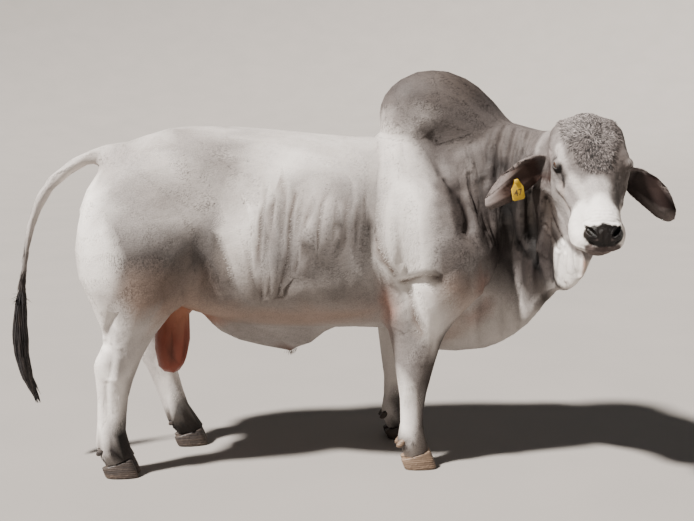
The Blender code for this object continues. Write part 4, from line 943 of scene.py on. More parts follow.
@dataclass
class Markings:
    """The bull's colours, with painted shade in its folds and its shaded parts, and the kinds of skin, at any
    places of the frame.
    """

    ground: tuple = PALE
    wander: float = 0.35    # how far the edges of the marks stray, as a share of the mark
    fold_shade: float = 0.78   # how much painted shade darkens the skin down in a fold

    def painted(self, places: Array, normals: Array) -> tuple[Array, Array]:
        """Works out the coat colour, with painted shade in the folds, the wrinkles and the shaded parts, and
        the relief.

        Args:
            places: rows of x, y, z in the frame.
            normals: the surface's normals there.

        Returns:
            Rows of colour, and rows of upright lie, bare skin and roan speckle.
        """
        trunk = in_trunk(places)
        head = mirrored(in_head(places))
        colours = np.tile(np.array(self.ground), (len(places), 1))
        stray = 0.6 * soft_noise(places, 9, 1) + 0.4 * soft_noise(places, 27, 2)
        fine = 0.5 * soft_noise(places, 60, 3) + 0.5 * soft_noise(places, 140, 4)
        on_head = self.on_head(head)
        self.laid(colours, SIDE_MARKS, trunk[:, ::2], stray, 1 - on_head)
        self.laid(colours, TRUNK_MARKS, trunk, stray, 1 - on_head)
        # Painted shade down in the grooves of the folds, a little bluish
        for folds, spots in folds_over(trunk):
            for fold in folds:
                if fold.rise < 0:
                    deep = self.fold_shade * min(1.0, -fold.rise / 0.005) * (1 - on_head)
                    away = distance_to(fold.line, spots) * (1 + 0.3 * fine)
                    line = 1 - ramp(away, 0.0006, 0.0014 + 0.2 * fold.width)
                    colours *= 1 - (deep * line)[:, None] * np.array((0.94, 1.0, 1.03))
        # Painted shade in the fine wrinkles of the ribs, flanks, shoulder and neck
        colours *= 1 - 0.42 * np.clip(ripples(trunk) * (1 - on_head), 0, 1)[:, None]
        edge = 0.5 * stray + 0.5 * fine
        self.laid(colours, HEAD_MARKS, head, edge, on_head)
        self.laid(colours, SHADED_FACE_MARKS, in_head(places), edge, on_head)
        grey = 1 - ramp(colours.mean(axis=1), 0.1, 0.62)
        bare = self.bare(trunk, head, on_head)
        upright = np.maximum(1 - ramp(trunk[:, 2], 0.6, 0.8), on_head)
        for ear in EARS.values():
            self.paint_ear(colours, bare, ear, places, normals)
        shade = 1 + 0.05 * stray + 0.05 * fine * grey
        relief = np.column_stack([upright, bare, np.clip(0.25 + grey, 0, 1) * (1 - bare)])
        return np.clip(colours * shade[:, None], 0.002, 0.9), relief

    def laid(self, colours: Array, marks: tuple, places: Array, stray: Array, where: Array) -> None:
        """Lays marks over the colours, one after the other.

        Args:
            colours: rows of colour, changed in place.
            marks: the marks.
            places: rows with as many numbers as the marks' points.
            stray: how the edge wanders, a value a row.
            where: how far the marks count, a value a row.
        """
        for mark in marks:
            away = distance_to(mark.line, places) * (1 + self.wander * stray)
            share = mark.share * (1 - ramp(away, mark.inner, mark.outer)) * where
            colours += share[:, None] * (np.array(mark.colour) - colours)

    def on_head(self, head: Array) -> Array:
        """How far each place belongs to the head, from 0 to 1."""
        away = distance_to(HEAD_CORE, head)
        crown = (1 - ramp(head[:, 0], 0.1, 0.4)) * ramp(head[:, 2], -0.27, -0.17)
        return 1 - ramp(away - 0.045 * crown, 0.135, 0.168)

    def bare(self, trunk: Array, head: Array, on_head: Array) -> Array:
        """Where the skin is bare or nearly so, from 0 to 1."""
        shares = []
        for facial, line, inner, outer in BARE:
            share = 1 - ramp(distance_to(line, head if facial else trunk), inner, outer)
            shares.append(share * on_head if facial else share)
        return np.maximum.reduce(shares)

    def paint_ear(self, colours: Array, bare: Array, ear: Ear, places: Array, normals: Array) -> None:
        """Paints one ear: brown-pink in the cup, pale on its rim and back.

        Args:
            colours: rows of colour, changed in place.
            bare: how bare the skin is, changed in place.
            ear: the ear.
            places: rows of x, y, z in the frame.
            normals: the surface's normals there.
        """
        near, spot = EarPlace.near(ear, places)
        belongs = (1 - ramp(spot.away, 0.075, 0.095)) * ramp(spot.along, -0.02, 0.12)
        facing = normals[near] @ np.array(Vector(ear.looks).normalized())
        upper = spot.across * np.sign(ear.across(0.5).z)
        band = 0.04 + 0.34 * (1 - ramp(spot.along, 0.1, 0.5))
        cup = ramp(facing, -0.05, 0.25) * (1 - ramp(-upper, 0.9, 1.0))
        cup *= 1 - ramp(upper, 0.9 - band, 1.0 - band)
        cup *= ramp(spot.along, 0.1, 0.2) * (1 - ramp(spot.along, 0.975, 1.0))
        vein = 0.5 + 0.5 * soft_noise(places[near], (30, 30, 30), 7)
        lighter = 1.0 + 0.8 * ramp(upper, 0.2, 0.7) + 0.8 * ramp(np.abs(spot.across), 0.9, 1.0)
        back = np.array(GREY) * lighter[:, None]
        tone = back + cup[:, None] * (np.array(ear.inside) * (0.8 + 0.4 * vein[:, None]) - back)
        colours[near] += belongs[:, None] * (tone - colours[near])
        bare[near] = np.maximum(bare[near], belongs * cup * 0.6)


# --- Skin ---


class Fold(NamedTuple):
    """A groove along a line of points, or a ridge where rise is above zero."""

    width: float
    rise: float
    line: tuple


# Muscle under the skin, drawn on both flanks as seen from the side: (x, z)
MUSCLES = tuple(Fold(*row) for row in (
    (.13, -.008, ((-.5, 1.25), (-.47, 1.18))),
    (.09, .008, ((-.68, 1.36), (-.66, 1.33))),
    (.08, -.007, ((-.57, 1.15), (-.6, .95), (-.64, .8))),
    (.05, .006, ((-.74, .76), (-.66, .72), (-.54, .7))),
    (.06, -.01, ((.14, 1.38), (.09, 1.15), (.08, .98), (.12, .82))),
    (.11, .018, ((.16, 1.08), (.15, 1), (.165, .94))),
    (.08, .012, ((.27, 1.16), (.27, 1.05), (.28, .94))),
    (.04, -.01, ((.212, 1.12), (.205, 1.02), (.215, .9))),
    (.08, .014, ((.29, .8), (.3, .72), (.32, .66))),
    (.05, -.008, ((.24, .8), (.25, .7), (.28, .61))),
    (.045, .006, ((.175, .72), (.18, .66))),
    (.03, -.004, ((.25, .36), (.25, .19))),
    (.03, -.007, ((-.985, .73), (-1.015, .65), (-1.035, .58))),
    (.04, .006, ((-.975, .57), (-.98, .5), (-.985, .44))),
    (.03, .005, ((-1.04, .6), (-1.04, .56))),
    (.02, -.004, ((-1.01, .58), (-1, .52), (-1.015, .45))),
    (.02, -.004, ((-1.03, .42), (-1.04, .22))),
    (.05, -.005, ((-.97, 1.38), (-.98, 1.34), (-1, 1.3))),
))

# Creases of the thin skin over the ribs, as seen from the side: (x, z)
RIBS = tuple(Fold(*row) for row in (
    (.0144, -.0043, ((-.35, 1.27), (-.37, 1.17), (-.39, 1.06), (-.39, .94), (-.38, .77))),
    (.0126, -.0038, ((-.29, 1.31), (-.31, 1.23), (-.34, 1.13), (-.36, 1.01), (-.38, .86))),
    (.0126, -.0032, ((-.26, 1.26), (-.28, 1.17), (-.3, 1.03))),
    (.0144, -.0043, ((-.23, 1.23), (-.26, 1.13), (-.27, .99), (-.29, .89), (-.32, .78))),
    (.0126, -.0041, ((-.165, 1.21), (-.2, 1.09), (-.23, 1), (-.24, .89))),
    (.0126, -.0035, ((-.094, 1.27), (-.13, 1.17), (-.15, 1.05), (-.157, .97))),
    (.0126, -.0035, ((-.004, 1.25), (-.03, 1.15), (-.038, 1.04), (-.06, .97))),
    (.0126, -.0035, ((.054, 1.23), (.04, 1.13), (.027, 1.03))),
    (.0126, -.0032, ((.096, 1.18), (.088, 1.07), (.083, .98))),
    (.018, -.0026, ((-.445, 1.19), (-.455, 1.05), (-.43, .94), (-.42, .84))),
    (.0126, -.0038, ((-.2, 1.05), (-.22, .96), (-.26, .87), (-.3, .77))),
    (.0126, -.0029, ((-.11, 1.13), (-.108, 1.01), (-.133, .94))),
    (.04, -.011, ((-.57, 1.03), (-.53, .94), (-.51, .84), (-.47, .77))),
    (.028, -.011, ((.1, 1.07), (.098, 1), (.13, .935), (.165, .89))),
    (.024, -.011, ((.2, .845), (.243, .855), (.295, .873), (.35, .862))),
    (.026, .007, ((.2, .872), (.243, .884), (.295, .902), (.35, .888))),
    (.024, -.006, ((.215, .833), (.24, .769), (.262, .69), (.298, .62))),
    (.01, -.003, ((-.32, 1.2), (-.339, 1.09), (-.345, .98))),
    (.01, -.003, ((-.21, 1.24), (-.228, 1.15), (-.235, 1.06))),
    (.01, -.003, ((-.125, 1.22), (-.144, 1.13), (-.15, 1.04))),
    (.01, -.003, ((-.065, 1.2), (-.081, 1.11), (-.085, 1.02))),
    (.01, -.003, ((.022, 1.18), (.007, 1.09), (.005, 1))),
    (.01, -.003, ((-.41, 1.1), (-.411, 1), (-.4, .9))),
    (.01, -.003, ((-.175, 1), (-.194, .92), (-.2, .84))),
    (.01, -.003, ((-.335, .92), (-.349, .85), (-.35, .78))),
))

# Loose skin on both sides of the trunk: (x, away from the median plane, z)
LOOSE_SKIN = tuple(Fold(*row) for row in (
    (.0126, -.0043, ((.17, .13, 1.385), (.18, .2, 1.325), (.188, .235, 1.27))),
    (.0126, -.0043, ((.215, .12, 1.41), (.222, .18, 1.355), (.228, .22, 1.3))),
    (.0108, -.0043, ((-.96, .04, 1.402), (-.965, .14, 1.352), (-.99, .142, 1.325))),
    (.014, -.0025, ((.145, .06, 1.462), (.165, .075, 1.452), (.2, .098, 1.45), (.225, .11, 1.452))),
    (.0126, -.0038, ((-1.037, .035, 1.39), (-1.028, .05, 1.345))),
    (.0126, -.0038, ((-1.067, .03, 1.383), (-1.053, .04, 1.335))),
    (.0117, -.0032, ((-1.098, .026, 1.375), (-1.085, .035, 1.33))),
))

# Folds where the neck turns, at the throat and the brisket, from the median plane: (x, y, z)
NECK_FOLDS = tuple(Fold(*row) for row in (
    (.02, -.007, ((.677, -.117, 1.491), (.653, -.147, 1.458), (.63, -.179, 1.392),
     (.622, -.202, 1.322), (.615, -.212, 1.25))),
    (.018, -.0065, ((.713, -.148, 1.479), (.686, -.19, 1.426), (.669, -.214, 1.364), (.66, -.224, 1.3))),
    (.018, -.0065, ((.756, -.2, 1.463), (.729, -.239, 1.415), (.712, -.252, 1.36), (.7, -.262, 1.31))),
    (.016, -.0055, ((.792, -.222, 1.464), (.745, -.258, 1.416), (.738, -.27, 1.37))),
    (.014, -.0035, ((.64, -.09, 1.5), (.615, -.125, 1.45), (.597, -.15, 1.4))),
    (.014, -.003, ((.735, -.172, 1.472), (.708, -.213, 1.42), (.692, -.232, 1.36))),
    (.018, .004, ((.66, -.135, 1.487), (.638, -.163, 1.428), (.64, -.197, 1.355))),
    (.018, .004, ((.735, -.172, 1.472), (.702, -.213, 1.42), (.69, -.235, 1.362))),
    (.034, -.008, ((.334, -.128, 1.446), (.367, -.144, 1.362), (.396, -.201, 1.281), (.434, -.231, 1.22))),
    (.024, -.008, ((.407, -.215, 1.261), (.448, -.226, 1.219), (.477, -.253, 1.159),
     (.489, -.282, 1.099), (.475, -.314, 1.04))),
    (.018, -.006, ((.507, -.182, 1.279), (.518, -.218, 1.176), (.531, -.27, 1.078), (.57, -.282, .993))),
    (.018, -.006, ((.564, -.197, 1.258), (.575, -.215, 1.16), (.594, -.237, 1.059), (.61, -.24, .99))),
    (.03, .006, ((.535, -.2, 1.26), (.548, -.22, 1.16), (.565, -.255, 1.07))),
    (.026, -.012, ((.646, -.241, 1.156), (.661, -.242, 1.071), (.683, -.218, .961), (.701, -.209, .872))),
    (.022, .011, ((.703, -.298, 1.182), (.703, -.288, 1.119), (.724, -.271, 1.019), (.74, -.279, .978))),
    (.02, -.014, ((.727, -.331, 1.206), (.732, -.322, 1.122), (.753, -.306, 1.015), (.757, -.346, .928))),
    (.018, .011, ((.743, -.36, 1.229), (.756, -.367, 1.156), (.77, -.357, 1.072), (.762, -.366, .982))),
    (.018, -.009, ((.77, -.401, 1.192), (.785, -.413, 1.132), (.778, -.434, 1.053), (.773, -.416, .968))),
    (.014, -.005, ((.787, -.42, 1.133), (.793, -.488, 1.088), (.806, -.545, 1.04))),
    (.014, -.004, ((.777, -.39, 1.088), (.784, -.469, 1.046), (.798, -.521, 1.005))),
    (.02, -.006, ((.846, -.633, 1.013), (.854, -.607, .918))),
    (.022, .005, ((.812, -.557, .99), (.821, -.539, .887))),
    (.016, -.005, ((.444, -.323, 1.03), (.474, -.326, .988), (.512, -.326, .95))),
    (.014, -.004, ((.454, -.314, 1.053), (.492, -.318, 1.007), (.522, -.32, .965))),
    (.018, -.007, ((.653, -.154, .731), (.659, -.139, .638), (.668, -.108, .549))),
    (.018, -.007, ((.718, -.236, .812), (.714, -.209, .719), (.722, -.16, .596))),
    (.018, -.007, ((.562, -.112, .643), (.583, -.068, .509))),
    (.02, -.006, ((.546, -.312, .913), (.565, -.274, .821), (.601, -.126, .726), (.578, -.118, .684),
     (.552, -.113, .661))),
    (.018, -.006, ((.83, -.1, 1), (.8, -.09, .85), (.77, -.1, .68))),
    (.018, -.006, ((.88, -.26, 1.04), (.86, -.26, .92), (.83, -.27, .8))),
    (.018, -.006, ((.9, -.4, 1.05), (.88, -.4, .95), (.86, -.4, .86))),
    (.018, -.005, ((.72, .16, 1.46), (.74, .165, 1.34), (.74, .15, 1.2))),
    (.018, -.005, ((.84, .03, 1.46), (.88, .03, 1.34), (.88, .01, 1.2))),
    (.022, -.006, ((-.736, -.047, .658), (-.772, -.062, .604), (-.784, -.072, .54), (-.765, -.066, .447))),
    (.02, -.005, ((-.696, -.03, .668), (-.712, -.045, .576), (-.725, -.04, .451))),
    (.02, -.005, ((-.86, 0, .66), (-.865, 0, .54), (-.84, 0, .44))),
))

# On both sides of the head, in its own axes: (along, left, up)
HEAD_FOLDS = tuple(Fold(*row) for row in (
    (.06, .004, ((0, .11, -.02), (.01, .125, -.03))),
    (.034, .005, ((.168, .137, .013), (.21, .149, .009), (.25, .133, -.007))),
    (.03, -.004, ((.285, .105, -.008), (.33, .095, -.02))),
    (.03, .004, ((.26, .125, -.1), (.37, .1, -.085))),
    (.026, -.002, ((.29, .11, -.115), (.38, .095, -.115), (.45, .09, -.11))),
    (.01, -.002, ((.46, 0, 0), (.455, .045, -.01), (.445, .07, -.035))),
    (.01, -.0026, ((.478, 0, 0), (.473, .045, -.01), (.463, .075, -.035))),
    (.01, -.0028, ((.495, 0, 0), (.49, .045, -.012), (.48, .075, -.04))),
    (.009, -.0026, ((.509, 0, -.005), (.505, .042, -.016), (.496, .07, -.045))),
    (.009, -.0022, ((.52, 0, -.012), (.516, .038, -.022), (.506, .064, -.045))),
    (.016, .003, ((.533, 0, -.022), (.53, .03, -.028), (.52, .06, -.035))),
    (.012, -.003, ((.56, 0, -.04), (.59, 0, -.08), (.602, 0, -.105))),
    (.034, .007, ((.55, .06, -.09), (.52, .08, -.095), (.48, .085, -.1))),
    (.01, -.0025, ((.583, 0, -.072), (.575, .03, -.074), (.562, .055, -.07))),
    (.014, -.01, ((.602, 0, -.112), (.585, .045, -.116), (.545, .08, -.124), (.49, .095, -.129),
     (.455, .1, -.132))),
    (.024, .004, ((.59, 0, -.142), (.57, .04, -.145), (.53, .065, -.148))),
    (.01, -.0022, ((.24, .131, -.045), (.263, .119, -.057), (.288, .109, -.075))),
    (.009, -.0018, ((.183, .144, -.057), (.213, .139, -.065), (.243, .127, -.063))),
    (.009, -.0015, ((.183, .145, -.073), (.218, .139, -.081), (.253, .124, -.075))),
    (.009, -.0016, ((.174, .143, -.001), (.203, .145, .001), (.236, .133, -.009))),
    (.01, -.0016, ((.163, .141, .013), (.203, .143, .015), (.243, .127, .007))),
    (.012, -.002, ((.02, .145, -.06), (.07, .15, -.07), (.12, .15, -.05))),
    (.018, -.0012, ((.3, .11, -.1), (.36, .1, -.12), (.43, .09, -.13))),
    (.024, -.0022, ((.16, .138, -.2), (.22, .134, -.235), (.3, .12, -.25), (.4, .1, -.225))),
    (.03, .003, ((.18, .13, -.235), (.26, .12, -.265), (.36, .1, -.255))),
))

# A nostril's comma, in the head's own axes: (along, left, up, half width)
NOSTRIL = (
    (0.563, 0.031, -0.046, 0.0055), (0.561, 0.038, -0.042, 0.009), (0.554, 0.046, -0.04, 0.0115),
    (0.543, 0.053, -0.039, 0.0105), (0.53, 0.06, -0.04, 0.007), (0.517, 0.066, -0.043, 0.0038),
)


def eye_axes(side: int) -> tuple[Vector, Vector, Vector, Vector]:
    """An eye's middle, the way it looks, the way to its inner corner, and up, in the head's axes.

    Args:
        side: 1 for the left eye, -1 for the right.

    Returns:
        The four vectors.
    """
    mirror = Vector((1, side, 1))
    looks = (EYE_LOOKS * mirror).normalized()
    corner = EYE_CORNER * mirror
    corner = (corner - looks * corner.dot(looks)).normalized()
    up = looks.cross(corner)
    return EYE_AT * mirror, looks, corner, up if up.z > 0 else -up


@dataclass
class Lids:
    """The lids of both eyes, drawn over balls."""

    long: float = 0.0175        # half the opening
    upper: float = 0.0088
    lower: float = 0.007
    thick: float = 0.0034
    behind: float = 0.84        # where the socket's floor lies, as a share of the eyeball's radius
    reach: float = 0.031        # where the lids have run out into the face

    def pressed(self, head: Array) -> Array:
        """Draws the lids, in the head's own axes.

        Args:
            head: rows of places.

        Returns:
            The same rows, moved.
        """
        made = head.copy()
        for side in (-1, 1):
            middle, looks, corner, up = (np.array(v) for v in eye_axes(side))
            offset = made - middle
            gap = np.linalg.norm(offset, axis=1)
            near = (gap < 0.06) & (offset @ looks > -0.004)
            inside = offset[near]
            u, v = inside @ corner, inside @ up
            direction = inside / gap[near][:, None]
            arc = EYE_RADIUS * np.arccos(np.clip(direction @ looks, -1, 1))
            flat = np.maximum(np.hypot(u, v), 1e-6)
            u, v = u / flat * arc, v / flat * arc
            edge = self.outside(u, v)
            roll = (1 - edge / self.thick).clip(0, 1)
            lid = EYE_RADIUS + self.thick * np.sqrt(np.clip(1 - roll**2, 0, 1)) + 0.0002
            lid += 0.0012 * ramp(edge, 0.003, 0.01)
            for place, deep in ((0.0075, 0.0013), (0.0125, 0.0016), (0.0175, 0.001)):
                lid -= deep * np.exp(-(((edge - place) / 0.0016) ** 2)) * np.where(v > 0, 1.0, 0.75)
            lid = np.where(edge < 0, EYE_RADIUS * self.behind, lid)
            share = 1 - ramp(arc, 0.02, self.reach)
            old = gap[near]
            made[near] = middle + direction * (old + share * (lid - old))[:, None]
        return made

    def outside(self, u: Array, v: Array) -> Array:
        """How far places round an eye lie outside the opening.

        Args:
            u: towards the inner corner.
            v: upwards.

        Returns:
            The distances, below 0 in the opening.
        """
        share = np.clip(1 - (u / self.long) ** 2, 0, 1)
        roof = self.upper * share**0.75 + 0.12 * u * share
        floor = -self.lower * share**0.85 + 0.02 * u * share
        beyond = np.maximum(np.abs(u) - self.long, 0)
        over = np.maximum(v - roof, floor - v)
        return np.where(beyond > 0, np.hypot(beyond, np.abs(v)), over)


@dataclass
class Skin:
    """The one skin: flesh melted together, with its folds, lids, lips and ears."""

    markings: Markings
    voxel: float = 0.0062
    swell: float = 0.0004      # how far each node grows, so that neighbours melt together
    rounds: int = 60
    under: float = 0.0022       # how deep it lies below the tips of the coat
    faces: int = 192000
    lids: Lids = field(default_factory=Lids)

    def made(self) -> Object:
        """Builds the skin.

        Returns:
            The finished object, with its markings.
        """
        skin = self.melted()
        self.evened(skin)
        self.finer(skin, self.near_head)
        self.finer(skin, self.near_detail)
        softened(skin, 4, 0.4 * self.near_head(points_of(skin)))
        softened(skin, 40, 0.6 * self.under_hump(points_of(skin)))
        self.pressed(skin)
        self.finer(skin, self.near_eyes)
        self.carve_face(skin)
        for name, ear in EARS.items():
            self.join_ear(skin, name, ear)
        self.thinned(skin)
        self.unwrapped(skin)
        colours, relief = self.markings.painted(points_of(skin), normals_of(skin))
        set_colours(skin, "Markings", colours)
        set_colours(skin, "Relief", relief)
        return dressed(skin, Hide().made())

    def melted(self) -> Object:
        """Joins the flesh, the eyes and the roots of the ears into one closed surface."""
        pieces = [copy_of(node, "flesh") for node in (*FLESH, "eye_left", "eye_right")]
        for name, ear in EARS.items():
            root = copy_of(name, "ear_root")
            cut = ear.run(0.1)
            edit_all(root, ("bisect", {
                "plane_co": cut, "plane_no": ear.ahead(0.1), "use_fill": True, "clear_outer": True,
            }))
            pieces.append(root)
        for piece in pieces:
            set_points(piece, points_of(piece) + self.swell * normals_of(piece))
        skin = joined("skin", pieces)
        shaped(skin, "REMESH", mode="VOXEL", voxel_size=self.voxel)
        return self.outermost(skin)

    def outermost(self, skin: Object) -> Object:
        """Keeps the largest of the separate shells."""
        edit_all(skin, ("separate", {"type": "LOOSE"}))
        parts = [each for each in bpy.context.selected_objects if each.name.startswith("skin")]
        parts.sort(key=lambda part: len(part.data.vertices))
        kept = parts.pop()
        for part in parts:
            bpy.data.objects.remove(part)
        kept.name = "skin"
        return kept

    def evened(self, skin: Object) -> None:
        """Takes the facets out: most on the trunk, least on the face, the folds and the feet."""
        places = points_of(skin)
        x, _, z = in_trunk(places).T
        head = mirrored(in_head(places))
        strength = np.full(len(places), 0.5)
        strength *= 1 - 0.75 * (1 - ramp(z, 0.55, 0.85))
        strength *= 1 - 0.7 * (1 - ramp(z, 0.1, 0.2))
        folded = ramp(x, 0.36, 0.5) * (1 - ramp(z, 1.48, 1.56))
        strength *= 1 - 0.8 * folded
        strength *= 1 - 0.8 * (1 - ramp(x, -1.15, -1.06))
        strength *= 1 - 0.6 * self.markings.on_head(head)
        softened(skin, self.rounds, strength)
        depth = self.under * (1 - 0.6 * self.markings.on_head(head))
        set_points(skin, points_of(skin) - depth[:, None] * normals_of(skin))

    def near_head(self, places: Array) -> Array:
        """1 on the head, on the folds of neck, throat and brisket, and at the right hock."""
        trunk, head = in_trunk(places), in_head(places)
        zones = (
            (head, ((-0.02, 0, -0.08), (0.58, 0, -0.09)), 0.205),
            (trunk, ((0.47, -0.24, 1.2), (0.66, -0.2, 1.35), (0.7, -0.28, 1.1), (0.8, -0.5, 1.0)), 0.16),
            (trunk, ((-1.02, -0.2, 0.6), (-1.02, -0.2, 0.44)), 0.09),
        )
        within = [distance_to(line, spots) < reach for spots, line, reach in zones]
        return np.any(within, axis=0).astype(float)

    def near_detail(self, places: Array) -> Array:
        """1 round the eyes, on the muzzle and at the mouth."""
        head = mirrored(in_head(places))
        zones = (
            ((EYE_SPOT,), 0.06),
            (((0.545, 0, -0.06), (0.585, 0, -0.11), (0.56, 0.05, -0.09)), 0.055),
            (((0.545, 0.08, -0.128), (0.46, 0.1, -0.134)), 0.025),
            (((0.5, 0, 0), (0.545, 0, -0.02)), 0.055),
        )
        within = [distance_to(line, head) < reach for line, reach in zones]
        return np.any(within, axis=0).astype(float)

    def under_hump(self, places: Array) -> Array:
        """Where the hump flows into the shoulder, from 0 to 1."""
        trunk = in_trunk(places)
        away = distance_to(((0.27, 1.47), (0.36, 1.455), (0.52, 1.455)), trunk[:, ::2])
        return (1 - ramp(away, 0.02, 0.13)) * ramp(np.abs(trunk[:, 1]), 0.02, 0.05)

    def near_eyes(self, places: Array) -> Array:
        """1 at the lids."""
        head = mirrored(in_head(places))
        return (np.linalg.norm(head - np.array((0.216, 0.145, -0.031)), axis=1) < 0.03).astype(float)

    def finer(self, skin: Object, where: Callable[[Array], Array]) -> None:
        """Halves the edges of a region.

        Args:
            skin: the object.
            where: gives 1 for each place that lies in it.
        """
        chosen = where(rows_of(skin.data.polygons, "center", 3)) > 0.5
        select_only(skin)
        bpy.ops.object.mode_set(mode="EDIT")
        bpy.ops.mesh.select_mode(type="FACE")
        bpy.ops.mesh.select_all(action="DESELECT")
        bpy.ops.object.mode_set(mode="OBJECT")
        skin.data.polygons.foreach_set("select", chosen)
        bpy.ops.object.mode_set(mode="EDIT")
        bpy.ops.mesh.subdivide(number_cuts=1, smoothness=0.0)
        bpy.ops.object.mode_set(mode="OBJECT")

    def pressed(self, skin: Object) -> None:
        """Presses the muscles and the folds into the skin."""
        places, normals = points_of(skin), normals_of(skin)
        trunk, head = in_trunk(places), in_head(places)
        on_head = self.markings.on_head(mirrored(head))
        stray = soft_noise(places, 11, 5)
        rise = np.zeros(len(places))
        for fold in MUSCLES:
            away = distance_to(fold.line, trunk[:, ::2]) / fold.width
            rise += fold.rise * np.exp(-(2 * away) ** 2)
        for folds, spots in folds_over(trunk):
            for fold in folds:
                rise += self.crease(fold, distance_to(fold.line, spots) * (1 + 0.25 * stray))
        rise *= 1 - on_head
        rise -= 0.003 * ripples(trunk) * (1 - on_head)
        rise += 0.0016 * soft_noise(places, 17, 6) * (1 - on_head) * ramp(trunk[:, 2], 0.2, 0.5)
        set_points(skin, places + rise[:, None] * normals)

    def crease(self, fold: Fold, away: Array) -> Array:
        """The height that a fold gives at each distance: a sharp groove between swollen lips, or a ridge."""
        share = away / (0.5 * fold.width)
        if fold.rise > 0:
            return fold.rise * np.exp(-(share**2))
        lips = 0.35 * np.exp(-(((share - 2.1) / 0.9) ** 2))
        return fold.rise * (np.exp(-(share**1.5)) - lips)

    def carve_face(self, skin: Object) -> None:
        """Presses the face's folds, the nostrils and the lids."""
        places, normals = points_of(skin), normals_of(skin)
        head = in_head(places)
        both = mirrored(head)
        near = np.flatnonzero(self.markings.on_head(both) > 0.01)
        spots, outward = both[near], normals[near]
        rise = np.zeros(len(near))
        for fold in HEAD_FOLDS:
            rise += self.crease(fold, distance_to(fold.line, spots))
        brow = np.exp(-((distance_to(((0.06, 0, 0.03), (0.19, 0, 0.02)), spots) / 0.07) ** 2))
        rise += 0.0016 * brow * soft_noise(spots, 60, 12) + 0.0007 * soft_noise(spots, 110, 13)
        turn = np.array(head_frame())[:3, :3]
        moved = places.copy()
        moved[near] += rise[:, None] * outward
        local = in_head(moved[near])
        local = self.lids.pressed(self.nostrils(local, normals[near] @ turn))
        moved[near] = local @ turn.T + np.array(head_frame())[:3, 3]
        set_points(skin, moved)

    def nostrils(self, head: Array, normals: Array) -> Array:
        """Sinks both nostrils.

        Args:
            head: rows of places in the head's axes.
            normals: the surface's normals in the same axes.

        Returns:
            The rows, moved.
        """
        made = head.copy()
        keys = np.array(NOSTRIL)
        for side in (-1, 1):
            centres = keys[:, :3] * (1, side, 1)
            steps = np.linspace(0, len(keys) - 1, 31)
            columns = (*centres.T, keys[:, 3])
            dense = np.array([np.interp(steps, range(len(keys)), column) for column in columns]).T
            gaps = np.linalg.norm(head[:, None] - dense[None, :, :3], axis=2) / dense[None, :, 3]
            share = gaps.min(axis=1)
            width = dense[gaps.argmin(axis=1), 3]
            depth = np.sqrt(np.clip(1 - share**2, 0, 1)) * 0.024 * np.interp(width, (0.003, 0.011), (0.25, 1))
            into = np.array((-0.78, 0.1 * side, -0.55))
            made += depth[:, None] * into
            rim = np.exp(-(((share - 1.35) / 0.32) ** 2)) * (normals[:, 0] > -0.3)
            made += (0.0018 * rim)[:, None] * normals
        return made

    def join_ear(self, skin: Object, name: str, ear: Ear) -> None:
        """Joins an ear's smooth shell to the skin and softens where they meet.

        Args:
            skin: the skin.
            name: the ear's node.
            ear: where it runs.
        """
        shell = copy_of(name, name + "_shell")
        softened(shell, 3, 0.35)
        shaped(shell, "SUBSURF", levels=2, render_levels=2)
        softened(shell, 16, 0.5)
        set_points(shell, points_of(shell) + 0.001 * normals_of(shell))
        self.dent_ear(shell, ear)
        shaped(skin, "BOOLEAN", operation="UNION", solver="MANIFOLD", object=shell)
        bpy.data.objects.remove(shell)
        places = points_of(skin)
        away = np.linalg.norm(places - np.array(ear.run(0.03)), axis=1)
        softened(skin, 14, 0.5 * (1 - ramp(away, 0.045, 0.07)))

    def dent_ear(self, shell: Object, ear: Ear) -> None:
        """Presses the long ribs of gristle into an ear's cup, and soft waves over it beyond the root."""
        places, normals = points_of(shell), normals_of(shell)
        spot = EarPlace.of(ear, places)
        facing = normals @ np.array(Vector(ear.looks).normalized())
        ribs = sum(np.exp(-(((spot.across - middle) / 0.1) ** 2)) for middle in (-0.45, -0.1, 0.28))
        depth = 0.0022 * ribs * ramp(spot.along, 0.1, 0.3) * (1 - ramp(spot.along, 0.7, 0.9))
        wave = 0.0015 * soft_noise(places, 22, 21) * ramp(spot.along, 0.1, 0.3)
        rise = depth * ramp(facing, 0.1, 0.5) + wave * 0.5
        set_points(shell, places + rise[:, None] * normals)

    def thinned(self, skin: Object) -> None:
        """Brings the number of triangles down, last of all on the face and in the folds."""
        edit_all(skin, ("quads_convert_to_tris", {"quad_method": "BEAUTY"}))
        places = points_of(skin)
        share = 1.0 - 0.8 * self.near_head(places) - 0.12 * self.near_detail(places)
        share[self.near_eyes(places) > 0.5] = 0.0
        group = skin.vertex_groups.new(name="thin")
        for value in np.unique(share):
            group.add(np.flatnonzero(share == value).tolist(), float(value), "REPLACE")
        ratio = min(1.0, self.faces / len(skin.data.polygons))
        shaped(skin, "DECIMATE", ratio=ratio, vertex_group="thin", vertex_group_factor=1.0)
        skin.vertex_groups.clear()
        edit_all(skin, ("quads_convert_to_tris", {}), ("normals_make_consistent", {"inside": False}))

    def unwrapped(self, skin: Object) -> None:
        """Unwraps the skin over its own shape."""
        skin.data.uv_layers.new(name="OFBake")
        select_only(skin)
        bpy.ops.object.mode_set(mode="EDIT")
        bpy.ops.mesh.select_all(action="SELECT")
        bpy.ops.uv.smart_project(angle_limit=1.15, island_margin=0.002, scale_to_bounds=True)
        bpy.ops.object.mode_set(mode="OBJECT")


# --- Coat ---


class Region(IntEnum):
    """The parts of the skin that carry a kind of hair."""

    RIGHT = 0
    LEFT = 1
    HUMP = 2
    NECK = 3
    LEGS = 4
    HEAD = 5
    TAIL = 6
    EARS = 7


ROOT_DEPTH = 0.0008
UNWRAP_SIZE = 0.0028        # of one tuft, as a share of the skin's unwrap
WIDEST = 0.53               # what a tuft's outline comes to where it is widest
GOLDEN_TURN = 2.39996       # from one lock of the switch to the next, radians
